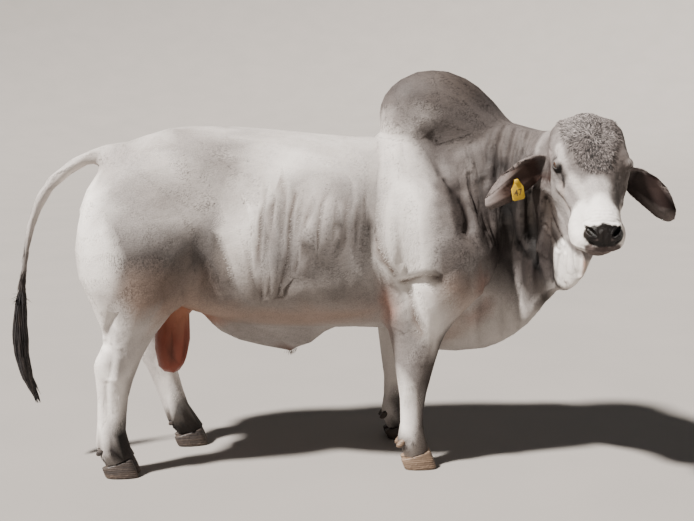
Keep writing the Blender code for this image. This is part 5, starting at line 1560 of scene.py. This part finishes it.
# The tail's middle line, from the trunk's axes
TAIL_RUN = (
    (-1.05, 0, 1.364), (-1.13, 0, 1.342), (-1.21, 0, 1.293), (-1.28, 0, 1.228), (-1.33, 0, 1.145),
    (-1.364, 0, 1.05), (-1.386, 0, 0.95), (-1.404, 0, 0.85), (-1.416, 0, 0.76),
)
# Where the hair of the face parts, in the head's own axes
WHORL = np.array((0.125, 0.0, 0.035))


def unit(rows: Array) -> Array:
    """The rows of x, y, z as unit vectors."""
    return rows / np.maximum(np.linalg.norm(rows, axis=1), 1e-9)[:, None]


@dataclass
class Roots:
    """Where hair stands on the skin, and which way it lies."""

    places: Array
    normals: Array
    lies: Array
    spots: Array            # on the skin's unwrap
    colours: Array


@dataclass
class Pelt:
    """The finished skin, read as the ground that the coat grows on."""

    skin: Object
    markings: Markings

    def __post_init__(self) -> None:
        """Reads the skin's triangles."""
        mesh = self.skin.data
        self.places, self.normals = points_of(self.skin), normals_of(self.skin)
        self.corners = rows_of(mesh.loops, "vertex_index", 1, np.int64).reshape(-1, 3)
        self.spots = rows_of(mesh.uv_layers["OFBake"].data, "uv", 2, np.float32).reshape(-1, 3, 2)
        first, second, third = (self.places[self.corners[:, k]] for k in range(3))
        self.areas = 0.5 * np.linalg.norm(np.cross(second - first, third - first), axis=1)
        self.middles = (first + second + third) / 3
        self.regions, self.bare = self.divided()

    def divided(self) -> tuple[Array, Array]:
        """The region of each triangle, as its number, and how bare it is."""
        trunk, head = in_trunk(self.middles), mirrored(in_head(self.middles))
        x, y, z = trunk.T
        on_head = self.markings.on_head(head)
        regions = np.where(y < 0, Region.RIGHT, Region.LEFT)
        regions[(x > 0.14) & (z > 1.44)] = Region.HUMP
        regions[(x > 0.42) & (z <= 1.5)] = Region.NECK
        regions[(z < 0.64) & (np.abs(y) > 0.1) & (x < 0.42)] = Region.LEGS
        regions[on_head > 0.5] = Region.HEAD
        regions[(x < -1.09) & (distance_to(TAIL_RUN, trunk) < 0.075)] = Region.TAIL
        for ear in EARS.values():
            near, spot = EarPlace.near(ear, self.middles)
            regions[near[(spot.along > 0.1) & (spot.away < 0.085)]] = Region.EARS
        return regions, self.markings.bare(trunk, head, on_head)

    def ways(self, places: Array, normals: Array) -> Array:
        """The lie of the hair.

        Args:
            places: rows of x, y, z in the frame.
            normals: the surface's normals there.

        Returns:
            Unit vectors along the surface.
        """
        trunk, head = in_trunk(places), in_head(places)
        x, y, z = trunk.T
        along, left, up = head.T
        way = np.tile((-1.0, 0.0, -0.4), (len(places), 1))

        def blend(share: Array, other: Array | tuple) -> None:
            """Turns the lie towards another way."""
            way[:] += share[:, None] * (np.array(other) - way)

        blend(ramp(x, 0.45, 0.78), (-0.55, 0.5, -0.6))
        low = ramp(x, 0.34, 0.48) * (1 - ramp(z, 0.85, 1.15))
        blend(low, (-0.2, 0.05, -1.0))
        thigh = (1 - ramp(x, -0.8, -0.6)) * (1 - ramp(z, 1.0, 1.3))
        blend(thigh, (-0.25, 0.0, -1.0))
        legs = (1 - ramp(z, 0.6, 0.85)) * ramp(np.abs(y), 0.07, 0.12)
        blend(legs, (-0.1, 0.0, -1.0))
        tail = (1 - ramp(x, -1.12, -1.06)) * (distance_to(TAIL_RUN, trunk) < 0.08)
        turn = (1 - ramp(x, -1.4, -1.1))[:, None]
        blend(tail, (1 - turn) * np.array((-0.9, 0, -0.45)) + turn * np.array((-0.15, 0, -1.0)))
        both = mirrored(head)
        on_head = self.markings.on_head(both)
        local = unit((head - WHORL) * (1, 1.1, 0.3))
        cheek = ramp(np.abs(left), 0.08, 0.13) * (1 - ramp(up, -0.06, 0.02))
        local += cheek[:, None] * (np.array((-0.55, 0.0, -0.85)) - local)
        local[:, 0] += 0.8 * ramp(along, 0.26, 0.36) * (1 - cheek)
        turned = local @ np.array(head_frame())[:3, :3].T
        blend(on_head, turned)
        for ear in EARS.values():
            near, spot = EarPlace.near(ear, places)
            on_ear = (spot.along > 0.05) & (spot.away < 0.09)
            heads = np.array([ear.ahead(share) for share in np.linspace(0, 1, 21)])
            at = np.clip((spot.along * 20).astype(int), 0, 20)
            way[near[on_ear]] = heads[at[on_ear]]
        way -= np.einsum("ij,ij->i", way, normals)[:, None] * normals
        return unit(way)

    def roots(self, weights: Array, count: int, random: np.random.Generator, sway: float) -> Roots:
        """Scatters roots over the skin.

        Args:
            weights: how densely each triangle is set.
            count: how many roots.
            random: the seeded generator.
            sway: how far the lie wanders, radians.

        Returns:
            The roots.
        """
        share = weights * self.areas
        picked = random.choice(len(share), count, p=share / share.sum())
        first, second = random.random(count), random.random(count)
        over = first + second > 1
        first[over], second[over] = 1 - first[over], 1 - second[over]
        parts = np.column_stack([1 - first - second, first, second])
        corners = self.corners[picked]
        places = np.einsum("ij,ijk->ik", parts, self.places[corners])
        normals = unit(np.einsum("ij,ijk->ik", parts, self.normals[corners]))
        spots = np.einsum("ij,ijk->ik", parts, self.spots[picked])
        lies = self.ways(places, normals)
        drift = sway * (0.6 * random.standard_normal(count) + soft_noise(places, 14, 31))
        lies = unit(lies + drift[:, None] * np.cross(normals, lies))
        colours = self.markings.painted(places, normals)[0]
        return Roots(places, normals, lies, spots, colours)


class Cut(NamedTuple):
    """The size and shape of one kind of tuft, in metres."""

    length: float
    width: float
    thick: float
    rings: int = 1
    lift: float = 0.05      # how far the tip stands off, as a share of the length
    arch: float = 0.06      # how far the middle does
    curl: float = 0.0       # how wide it winds, as a share of the length
    turns: float = 1.0
    shade: float = 0.1      # how much tufts differ in tone
    calm: float = 0.75      # how far their shading follows the skin's


def meshed(name: str, places: Array, faces: Array, colours: Array, spots: Array) -> Object:
    """An object from rows of numbers.

    Args:
        name: its name.
        places: the vertices.
        faces: rows of three vertices.
        colours: a colour a vertex.
        spots: a place a vertex on the unwrap.

    Returns:
        The object, smooth.
    """
    mesh = bpy.data.meshes.new(name)
    mesh.vertices.add(len(places))
    mesh.vertices.foreach_set("co", places.astype(np.float32).ravel())
    mesh.loops.add(faces.size)
    mesh.loops.foreach_set("vertex_index", faces.astype(np.int32).ravel())
    mesh.polygons.add(len(faces))
    mesh.polygons.foreach_set("loop_start", np.arange(0, faces.size, 3, dtype=np.int32))
    mesh.polygons.foreach_set("use_smooth", np.ones(len(faces), bool))
    mesh.update(calc_edges=True)
    layer = mesh.uv_layers.new(name="OFBake")
    layer.data.foreach_set("uv", spots[faces.ravel()].astype(np.float32).ravel())
    made = linked(name, mesh)
    set_colours(made, "Markings", colours)
    return made


def tuft_faces(rings: int) -> Array:
    """The triangles of one tuft: a root, rings of three and a tip.

    Args:
        rings: how many rings.

    Returns:
        Rows of three vertices, facing outwards.
    """
    tip = 3 * rings + 1
    rows = [(0, 1 + (k + 1) % 3, 1 + k) for k in range(3)]
    for ring in range(rings - 1):
        low, high = 1 + 3 * ring, 4 + 3 * ring
        for k in range(3):
            after = (k + 1) % 3
            rows += [(low + k, low + after, high + after), (low + k, high + after, high + k)]
    rows += [(tip - 3 + k, tip - 3 + (k + 1) % 3, tip) for k in range(3)]
    return np.array(rows)


def tufts(name: str, roots: Roots, cut: Cut, sizes: Array, random: np.random.Generator) -> Object:
    """Grows a tuft on every root.

    Args:
        name: the object's name.
        roots: where they stand.
        cut: their shape.
        sizes: a factor on each one's length.
        random: the seeded generator.

    Returns:
        One object that holds them all.
    """
    count, rings = len(roots.places), cut.rings
    length = cut.length * sizes * random.uniform(0.75, 1.25, count)
    width = cut.width * sizes**0.5 * random.uniform(0.75, 1.25, count)
    sides = np.cross(roots.normals, roots.lies)
    phase = random.uniform(0, 2 * np.pi, count)
    hand = random.choice((-1.0, 1.0), count)
    lift = cut.lift * random.uniform(0.4, 1.6, count)
    shares = (np.arange(rings) + 1) / (rings + 1) if rings > 1 else np.array((0.42,))
    made = np.empty((count, 3 * rings + 2, 3))

    def middle(share: float) -> Array:
        """The middle line of every tuft at a share of its length."""
        wound = 2 * np.pi * cut.turns * share
        wave = cut.curl * share**0.5
        ahead = share - wave * np.abs(np.sin(wound)) * 0.5
        aside = wave * (np.sin(wound + phase) - np.sin(phase)) * hand
        up = 4 * cut.arch * share * (1 - share) + lift * share**2 + 0.5 * wave * (1 - np.cos(wound))
        bent = ahead * roots.lies + aside[:, None] * sides + up[:, None] * roots.normals
        return roots.places + length[:, None] * bent

    made[:, 0] = roots.places - ROOT_DEPTH * roots.normals
    for ring, share in enumerate(shares):
        centre = middle(share)
        wide = 1.0 if rings == 1 else (share**0.45 * (1 - share) ** 0.7) / WIDEST
        half = 0.5 * wide * width[:, None] * sides
        tall = wide * cut.thick * roots.normals
        made[:, 1 + 3 * ring] = centre - half - 0.3 * tall
        made[:, 2 + 3 * ring] = centre + half - 0.3 * tall
        made[:, 3 + 3 * ring] = centre + 0.7 * tall
    made[:, -1] = middle(1.0)
    step = 3 * rings + 2
    faces = (tuft_faces(rings)[None] + step * np.arange(count)[:, None, None]).reshape(-1, 3)
    along = np.array([0, *np.repeat(shares, 3), 1])
    across = np.array([0, *([-1, 1, 0] * rings), 0])
    patch = UNWRAP_SIZE * np.column_stack([0.25 * across, along - 0.5])
    spots = (roots.spots[:, None] + patch[None]).reshape(-1, 2)
    tone = 1 + cut.shade * random.standard_normal(count).clip(-2, 2)
    tone = tone[:, None] * (0.9 + 0.16 * along[None])
    colours = (roots.colours[:, None] * tone[..., None]).reshape(-1, 3).clip(0.003, 0.92)
    grown = meshed(name, made.reshape(-1, 3), faces, colours, np.clip(spots, 0, 1))
    if cut.calm:
        own = normals_of(grown)
        calm = np.repeat(roots.normals, step, axis=0)
        grown.data.normals_split_custom_set_from_vertices(unit(own + cut.calm * (calm - own)))
    return grown


@dataclass
class Coat:
    """The short coat: flat overlapping tufts over the whole skin."""

    pelt: Pelt
    seed: int = 11
    body: Cut = Cut(0.0115, 0.0017, 0.0004, lift=0.018, arch=0.022, shade=0.035, calm=0.88)
    legs: Cut = Cut(0.0105, 0.0016, 0.0004, lift=0.018, arch=0.022, shade=0.035, calm=0.88)
    face: Cut = Cut(0.007, 0.0012, 0.0004, lift=0.035, arch=0.035, shade=0.06)
    neck: Cut = Cut(0.011, 0.0016, 0.0005, lift=0.025, arch=0.03, shade=0.05, calm=0.8)
    # name, slot, region, how many, and the cut's field
    plan: tuple = (
        ("coat_right", "pale_coat", Region.RIGHT, 32500, "body"),
        ("coat_left", "pale_coat", Region.LEFT, 32500, "body"),
        ("coat_hump", "grey_coat", Region.HUMP, 9000, "body"),
        ("coat_neck", "grey_coat", Region.NECK, 31000, "neck"),
        ("coat_legs", "pale_coat", Region.LEGS, 26000, "legs"),
        ("coat_head", "grey_coat", Region.HEAD, 30000, "face"),
        ("coat_tail", "pale_coat", Region.TAIL, 5500, "legs"),
        ("coat_ears", "ear_skin", Region.EARS, 9000, "face"),
    )

    def made(self) -> list[Object]:
        """Grows the coat, a piece a region."""
        random = np.random.default_rng(self.seed)
        density = (1 - 0.97 * np.clip(self.pelt.bare * 1.3, 0, 1)) / self.size_at(self.pelt.middles) ** 1.5
        pieces = []
        for name, slot, region, count, cut in self.plan:
            roots = self.pelt.roots(np.where(self.pelt.regions == region, density, 0), count, random, 0.1)
            made = tufts(name, roots, getattr(self, cut), self.size_at(roots.places), random)
            made["slot"] = slot
            pieces.append(made)
            log.info("%s: %d tufts", name, count)
        return pieces

    def size_at(self, places: Array) -> Array:
        """How long the tufts are at each place, as a factor."""
        trunk, head = in_trunk(places), in_head(places)
        along, left, up = head.T
        size = np.ones(len(places))
        size *= 1 - 0.35 * (1 - ramp(trunk[:, 2], 0.1, 0.45))
        muzzle = ramp(along, 0.3, 0.55) * (np.abs(left) < 0.14) * (np.abs(up + 0.08) < 0.14)
        size *= 1 - 0.35 * muzzle
        eyes = np.linalg.norm(mirrored(head) - np.array(EYE_SPOT), axis=1)
        size *= 1 - 0.4 * (1 - ramp(eyes, 0.015, 0.05))
        return size


@dataclass
class LongHair:
    """Hair that breaks the outline, on the brow, the ears, the tail, the coronets and the sheath."""

    pelt: Pelt
    seed: int = 23

    def made(self) -> list[Object]:
        """Grows each kind as one piece."""
        return [self.brow(), self.ear_fringes(), self.tail_brush(), self.coronets(), self.sheath_tuft()]

    def grown(
        self, name: str, slot: str, where: Array, count: int, cut: Cut, sway: float,
        turn: Callable[[Roots, np.random.Generator], None] | None = None,
    ) -> Object:
        """Grows one kind.

        Args:
            name: the piece.
            slot: its material slot.
            where: how densely each triangle is set.
            count: how many locks.
            cut: their shape.
            sway: how far the lie wanders, radians.
            turn: changes the roots before the locks grow.

        Returns:
            The piece.
        """
        random = np.random.default_rng(self.seed + len(name))
        roots = self.pelt.roots(where, count, random, sway)
        if turn:
            turn(roots, random)
        made = tufts(name, roots, cut, np.ones(count), random)
        made["slot"] = slot
        log.info("%s: %d locks", name, count)
        return made

    def brow(self) -> Object:
        """Curls from the poll to between the eyes."""
        head = in_head(self.pelt.middles)
        away = distance_to(((-0.02, 0, 0.0), (0.08, 0, 0.04), (0.22, 0, 0.01)), head)
        wide = 0.075 - 0.045 * ramp(head[:, 0], 0.06, 0.26)
        where = (1 - ramp(away, wide, wide + 0.045)) * (self.pelt.regions == Region.HEAD)

        def tone(roots: Roots, random: np.random.Generator) -> None:
            """Mixes white and dark hairs."""
            pick = random.random(len(roots.colours)) + 0.16 * soft_noise(roots.places, 45, 17)
            middle = 1 - ramp(np.abs(in_head(roots.places)[:, 1]), 0.0, 0.07)
            dark = np.where(pick > 0.74 - 0.3 * middle, 0.35, 1.0)
            roots.colours *= np.where(pick < 0.26, 2.1, dark)[:, None]

        cut = Cut(0.02, 0.0023, 0.0012, 4, lift=0.13, arch=0.08, curl=0.15, turns=0.9, shade=0.16, calm=0.45)
        return self.grown("brow_curls", "grey_coat", where, 7600, cut, 0.42, tone)

    def ear_fringes(self) -> Object:
        """Hair along the ears' rims and out of the roots of their cups."""
        where = np.zeros(len(self.pelt.middles))
        for ear in EARS.values():
            near, spot = EarPlace.near(ear, self.pelt.middles)
            rim = ramp(np.abs(spot.across), 0.8, 0.97) * (spot.away < 0.09) * ramp(spot.along, 0.08, 0.2)
            cup = (spot.along < 0.3) * (spot.along > 0.06) * (spot.away < 0.055) * 0.8
            where[near] = np.maximum(where[near], np.maximum(rim, cup))
        cut = Cut(0.017, 0.0015, 0.0008, 3, lift=0.12, arch=0.05, curl=0.04, turns=0.5)
        return self.grown("ear_fringes", "ear_skin", where, 1500, cut, 0.35)

    def tail_brush(self) -> Object:
        """Longer hair on the last of the tail, over the roots of the switch."""
        trunk = in_trunk(self.pelt.middles)
        where = (self.pelt.regions == Region.TAIL) * (1 - ramp(trunk[:, 2], 0.84, 0.98))
        cut = Cut(0.06, 0.0036, 0.0016, 4, lift=0.05, arch=0.04, curl=0.03, turns=0.5)
        return self.grown("tail_brush", "switch_hair", where, 900, cut, 0.1)

    def coronets(self) -> Object:
        """The fringe that hangs over the top of each hoof."""
        trunk = in_trunk(self.pelt.middles)
        where = 1 - ramp(trunk[:, 2], 0.088, 0.115)
        cut = Cut(0.019, 0.0022, 0.001, 2, lift=0.03, arch=0.05)
        return self.grown("coronets", "dark_coat", where, 2600, cut, 0.18)

    def sheath_tuft(self) -> Object:
        """The few long hairs at the end of the sheath."""
        trunk = in_trunk(self.pelt.middles)
        where = 1 - ramp(distance_to(((-0.252, 0, 0.482),), trunk), 0.022, 0.034)

        def down(roots: Roots, random: np.random.Generator) -> None:
            """Lets the hair hang."""
            way = np.array((-0.1, 0.0, -1.0)) + 0.25 * random.standard_normal((len(roots.places), 3))
            roots.lies = unit(way)
            roots.normals = unit(np.cross(np.cross(roots.lies, roots.normals + 0.01), roots.lies))

        cut = Cut(0.024, 0.0013, 0.0008, 4, lift=0.02, arch=0.02)
        return self.grown("sheath_hair", "pale_coat", where, 46, cut, 0.2, down)


# --- Eyes, tail switch, hooves and tag ---


@dataclass
class Eyes:
    """Both eyeballs."""

    radius: float = EYE_RADIUS - 0.0003
    iris: float = 0.0112
    pupil: tuple = (0.0068, 0.0034)
    bulge: float = 0.0013
    white: tuple = (0.085, 0.05, 0.042)
    brown: tuple = (0.055, 0.026, 0.014)
    rim: tuple = (0.008, 0.006, 0.006)
    black: tuple = (0.003, 0.004, 0.007)

    def made(self) -> Object:
        """Makes the eyes as one piece."""
        balls = [self.ball(side) for side in (-1, 1)]
        return dressed(joined("eyes", balls), EyeSurface().made())

    def ball(self, side: int) -> Object:
        """Makes one eyeball, its pole the way it looks.

        Args:
            side: 1 for the left eye, -1 for the right.

        Returns:
            The ball, with its colours.
        """
        frame = head_frame()
        middle, looks, corner, up = eye_axes(side)
        bpy.ops.object.select_all(action="DESELECT")
        bpy.ops.mesh.primitive_uv_sphere_add(segments=72, ring_count=48, radius=self.radius)
        ball = bpy.context.view_layer.objects.active
        upright = Matrix((corner, looks.cross(corner), looks)).transposed().to_4x4()
        ball.data.transform(frame @ Matrix.Translation(middle) @ upright)
        places = in_head(points_of(ball)) - np.array(middle)
        u, v, w = (places @ np.array(axis) for axis in (corner, up, looks))
        out = np.hypot(u, v)
        front = w > 0
        lift = np.where(front, self.bulge * np.clip(1 - (out / self.iris) ** 2, 0, 1), 0)
        set_points(ball, points_of(ball) + lift[:, None] * normals_of(ball))
        colours = np.tile(self.white, (len(out), 1))
        on_iris = front * (1 - ramp(out, self.iris - 0.0006, self.iris + 0.0004))
        colours += on_iris[:, None] * (np.array(self.brown) - colours)
        ring = front * np.exp(-(((out - self.iris) / 0.001) ** 2))
        colours += 0.8 * ring[:, None] * (np.array(self.rim) - colours)
        hole = front * (1 - ramp(np.hypot(u / self.pupil[0], v / self.pupil[1]), 0.88, 1.08))
        colours += hole[:, None] * (np.array(self.black) - colours)
        set_colours(ball, "Markings", colours)
        return ball


@dataclass
class Switch:
    """The long black hair that ends the tail: locks round a core."""

    run: tuple = ((-1.41, 0.8), (-1.42, 0.72), (-1.43, 0.62), (-1.43, 0.5), (-1.41, 0.39), (-1.366, 0.272))
    locks: int = 330
    rings: int = 11
    seed: int = 4

    def made(self) -> Object:
        """Makes the switch."""
        random = np.random.default_rng(self.seed)
        keys = np.linspace(0, 1, len(self.run))
        path = np.array(self.run)
        shares = np.linspace(0, 1, self.rings + 2)
        places, faces = [], []
        step = 3 * self.rings + 2
        pattern = tuft_faces(self.rings)
        for k in range(self.locks):
            turn = GOLDEN_TURN * k
            start = 0.62 * random.random() ** 1.3
            end = min(1.0, start + random.uniform(0.3, 0.62))
            if k % 5 == 0:
                end = random.uniform(0.86, 1.0)
            spread = random.uniform(0.45, 1.0)
            half = random.uniform(0.0022, 0.0048)
            sway, phase = random.uniform(-0.01, 0.01), random.uniform(0, 6.28)
            rows = []
            for t in shares:
                at = start + (end - start) * t
                x, z = (np.interp(at, keys, path[:, axis]) for axis in (0, 1))
                bulk = np.interp(at, (0, 0.25, 0.5, 0.75, 0.9, 1), (0.017, 0.026, 0.034, 0.026, 0.014, 0.005))
                away = bulk * (0.55 + 0.45 * spread * math.sin(math.pi * min(t, 0.62)))
                swing = turn + 0.35 * math.sin(3.0 * t + phase)
                out = np.array((math.cos(swing), math.sin(swing), 0))
                aside = np.array((-out[1], out[0], 0))
                wave = 0.0022 * math.sin(9 * t + phase)
                centre = np.array((x, 0, z)) + away * out + (sway * t * t + wave) * aside
                wide = half * (t + 0.02) ** 0.4 * (1 - t) ** 0.6 * 1.7
                rows.append((centre, out, aside, wide))
            block = [rows[0][0] - 0.004 * rows[0][1]]
            for centre, out, aside, wide in rows[1:-1]:
                block += [centre - wide * aside, centre + wide * aside, centre + 0.0017 * out]
            block.append(rows[-1][0])
            faces.append(pattern + step * k)
            places.append(np.array(block))
        points = np.vstack(places) + np.array(STANCE)
        triangles = np.vstack(faces)
        triangles = self.outwards(points, triangles, step)
        locks = meshed(
            "switch_locks", points, triangles, np.tile((0.012, 0.01, 0.01), (len(points), 1)),
            self.unrolled(points),
        )
        core = copy_of("tail_switch", "switch_core")
        inner = points_of(core)
        axis_x = np.interp(-(inner[:, 2]), -path[:, 1], path[:, 0] + STANCE.x)
        inner[:, 0] = axis_x + 0.8 * (inner[:, 0] - axis_x)
        inner[:, 1] = STANCE.y + 0.8 * (inner[:, 1] - STANCE.y)
        inner[:, 2] = np.where(inner[:, 2] < 0.4, 0.4 + 0.75 * (inner[:, 2] - 0.4), inner[:, 2])
        set_points(core, inner)
        return dressed(joined("switch", [locks, core]), SwitchHair().made())

    def outwards(self, points: Array, triangles: Array, step: int) -> Array:
        """Turns every lock's faces outwards."""
        first, second, third = (points[triangles[:, k]] for k in range(3))
        centre = points.reshape(-1, step, 3).mean(axis=1)[triangles[:, 0] // step]
        volume = np.einsum("ij,ij->i", first - centre, np.cross(second - centre, third - centre))
        per = volume.reshape(self.locks, -1).sum(axis=1)
        flip = np.repeat(per < 0, len(triangles) // self.locks)
        triangles[flip] = triangles[flip][:, ::-1]
        return triangles

    def unrolled(self, points: Array) -> Array:
        """Places round the switch on a sheet."""
        local = points - np.array(STANCE)
        turn = np.arctan2(local[:, 1], local[:, 0] + 1.42) / (2 * np.pi) + 0.5
        return np.column_stack([turn, np.clip((local[:, 2] - 0.25) / 0.6, 0, 1)])


@dataclass
class Hooves:
    """The claws and dewclaws of one leg."""

    leg: str
    finish: Horn
    voxel: float = 0.0028
    rings: float = 0.0007

    def made(self) -> Object:
        """Makes the leg's horn as one piece."""
        nodes = [f"{self.leg}_{part}_{side}" for part in ("claw", "dewclaw") for side in ("left", "right")]
        claws = [self.claw(node) for node in nodes]
        hooves = dressed(joined(f"{self.leg}_hooves", claws), self.finish.made())
        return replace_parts(hooves, *nodes)

    def claw(self, node: str) -> Object:
        """Rounds one claw off and presses its growth rings."""
        claw = copy_of(node, node + "_horn")
        shaped(claw, "REMESH", mode="VOXEL", voxel_size=self.voxel)
        softened(claw, 8, 0.45)
        places, normals = points_of(claw), normals_of(claw)
        slope = places[:, 2] + 0.1 * places[:, 0]
        wave = np.sin(2 * np.pi * slope / 0.0085 + 1.5 * soft_noise(places, 25, 3))
        chips = np.minimum(soft_noise(places, 70, 9), 0) * (1 - ramp(places[:, 2], 0.004, 0.018))
        wall = np.abs(normals[:, 2]) < 0.8
        rise = self.rings * wave * wall + 0.0016 * chips
        made = places + rise[:, None] * normals
        made[:, 2] = np.maximum(made[:, 2], 0.0)
        set_points(claw, made)
        return claw


@dataclass
class Tag:
    """The yellow ear tag: a moulded panel, its stud and a plain number."""

    text: str = "47"
    thick: float = 0.003
    stud: float = 0.0085

    def axes(self) -> tuple[Vector, Vector, Vector, Vector]:
        """The panel's middle, and the ways to its side, its top and its front."""
        ear = EARS["ear_right"]
        root, bend, tip = (Vector(point) for point in (ear.root, ear.bend, ear.tip))
        share = 0.47
        ahead = ((bend - root) * (1 - share) + (tip - bend) * share).normalized()
        looks = ahead.cross(Vector(ear.looks)).normalized().cross(ahead)
        centre = ear.run(share) + looks * 0.0065 - Vector((0.023, 0, 0.043))
        up = Vector((-0.2, -0.08, 0.975)).normalized()
        side = up.cross(looks).normalized()
        return centre, side, up, side.cross(up)

    def made(self) -> list[Object]:
        """Makes the tag and its number."""
        panel = copy_of("ear_tag", "tag")
        edit_all(panel, ("dissolve_limited", {"angle_limit": 0.02}))
        shaped(panel, "BEVEL", width=0.0009, segments=3)
        centre, side, up, out = self.axes()
        turned = Matrix((side, up, out)).transposed().to_4x4()
        bpy.ops.object.select_all(action="DESELECT")
        bpy.ops.mesh.primitive_cylinder_add(vertices=40, radius=self.stud, depth=0.0045)
        stud = bpy.context.view_layer.objects.active
        shaped(stud, "BEVEL", width=0.0012, segments=3)
        stud.data.transform(Matrix.Translation(centre + up * 0.027 + out * (self.thick + 0.0012)) @ turned)
        yellow = Moulded("tag_plastic", (0.62, 0.4, 0.02), (0.26, 0.16, 0.04))
        tag = dressed(joined("tag", [panel, stud]), yellow.made())
        bpy.ops.object.shade_smooth_by_angle(angle=math.radians(35))
        return [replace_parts(tag, "ear_tag"), self.number(centre, turned, up, out)]

    def number(self, centre: Vector, turned: Matrix, up: Vector, out: Vector) -> Object:
        """Makes the raised number."""
        bpy.ops.object.select_all(action="DESELECT")
        bpy.ops.object.text_add()
        text = bpy.context.view_layer.objects.active.data
        text.body, text.size, text.resolution_u = self.text, 0.036, 4
        text.align_x = text.align_y = "CENTER"
        text.extrude, text.offset = 0.00035, 0.0006
        bpy.ops.object.convert(target="MESH")
        written = bpy.context.view_layer.objects.active
        written.name = written.data.name = "tag_number"
        edit_all(written, ("remove_doubles", {"threshold": 1e-6}))
        written.data.transform(Matrix.Translation(centre - up * 0.02 + out * (self.thick + 0.0002)) @ turned)
        written.data.materials.clear()
        written.data.materials.append(Moulded("tag_print", (0.1, 0.06, 0.02), (0.3, 0.19, 0.06)).made())
        return written


# --- Studio ---


@dataclass
class Studio:
    """The camera, the floor and the light."""

    lens: float = 50.68
    seen_from: tuple = (-0.373, -4.264, 1.58)
    heading: float = 5.0
    pitch: float = 9.16
    air: tuple = (0.8, 0.88, 1.0)
    air_strength: float = 0.09
    # where the soft key light stands, in degrees round the bull and above the floor
    key_round: float = -154.0
    key_above: float = 53.0
    key_strength: float = 14.5
    key_spread: float = 5.0
    rise: tuple = (20.0, 14.0)      # the floor's flat part, and how high its rim rises, metres
    gap: float = 0.0005             # how far the floor lies below the feet

    def made(self) -> None:
        """Sets up the camera, the light and the floor."""
        self.camera()
        world = bpy.data.worlds.new("studio")
        world.use_nodes = True
        air = world.node_tree.nodes["Background"].inputs
        air["Color"].default_value = (*self.air, 1)
        air["Strength"].default_value = self.air_strength
        bpy.context.scene.world = world
        self.key()
        self.floor()

    def camera(self) -> None:
        """Places the camera at the bull's right."""
        turn, drop = math.radians(self.heading), math.radians(self.pitch)
        ahead = Vector((math.sin(turn) * math.cos(drop), math.cos(turn) * math.cos(drop), -math.sin(drop)))
        right = Vector((math.cos(turn), -math.sin(turn), 0))
        down = ahead.cross(right)
        data = bpy.data.cameras.new("camera")
        data.lens = self.lens
        data.sensor_width = 36
        camera = linked("camera", data)
        place = Matrix.Translation(Vector(self.seen_from) + STANCE)
        camera.matrix_world = place @ Matrix((right, -down, -ahead)).transposed().to_4x4()
        bpy.context.scene.camera = camera

    def key(self) -> None:
        """Hangs the one soft lamp, high at the bull's tail."""
        data = bpy.data.lights.new("key", "SUN")
        data.energy, data.angle = self.key_strength, math.radians(self.key_spread)
        data.color = (1.0, 0.955, 0.9)
        made = linked("key", data)
        around, above = math.radians(self.key_round), math.radians(self.key_above)
        flat = math.cos(above)
        out = Vector((math.cos(around) * flat, math.sin(around) * flat, math.sin(above)))
        made.rotation_euler = out.to_track_quat("Z", "Y").to_euler()

    def floor(self) -> None:
        """Lays a round floor whose rim rises far away, so that no edge shows behind the bull."""
        flat, height = self.rise
        sides = 64
        turns = np.linspace(0, 2 * np.pi, sides + 1)[:-1]
        bends = np.linspace(0, np.pi / 2, 13)
        radii = [0.01, *(flat + height * np.sin(bends))]
        heights = [0.0, *(height * (1 - np.cos(bends)))]
        rings = [
            (r * math.cos(t), r * math.sin(t), z - self.gap) for r, z in zip(radii, heights) for t in turns
        ]
        faces = []
        for inner in range(0, sides * (len(radii) - 1), sides):
            outer = inner + sides
            faces += [
                (inner + n, inner + (n + 1) % sides, outer + (n + 1) % sides, outer + n) for n in range(sides)
            ]
        faces.append(tuple(range(sides)))
        mesh = bpy.data.meshes.new("floor")
        mesh.from_pydata(rings, [], [face[::-1] for face in faces[:-1]] + [faces[-1]])
        floor = dressed(linked("floor", mesh), Ground().made())


# --- The bull ---


def placed(piece: Object) -> None:
    """Rides a piece on the body.

    Args:
        piece: the finished piece.
    """
    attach(piece, BODY)
    log.info("%s: %d triangles", piece.name, sum(len(face.vertices) - 2 for face in piece.data.polygons))


def main() -> None:
    """Builds the bull, piece after piece."""
    logging.basicConfig(level=logging.INFO, format="%(message)s")
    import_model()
    bpy.ops.object.select_all(action="DESELECT")
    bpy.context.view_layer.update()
    Studio().made()
    markings = Markings()
    skin = Skin(markings).made()
    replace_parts(skin, *FLESH, *EARS)
    placed(skin)
    pelt = Pelt(skin, markings)
    hair = Fleece().made()
    for piece in (*Coat(pelt).made(), *LongHair(pelt).made()):
        piece.data.materials.append(hair)
        placed(piece)
    placed(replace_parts(Eyes().made(), "eye_left", "eye_right"))
    placed(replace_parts(Switch().made(), "tail_switch"))
    dark = Horn("dark_horn", (0.022, 0.017, 0.016), (0.05, 0.036, 0.028))
    brown = Horn("brown_horn", (0.11, 0.072, 0.048), (0.2, 0.135, 0.09))
    for leg in LEGS:
        placed(Hooves(leg, brown if leg == "fore_right" else dark).made())
    for piece in Tag().made():
        placed(piece)


if __name__ == "__main__":
    main()
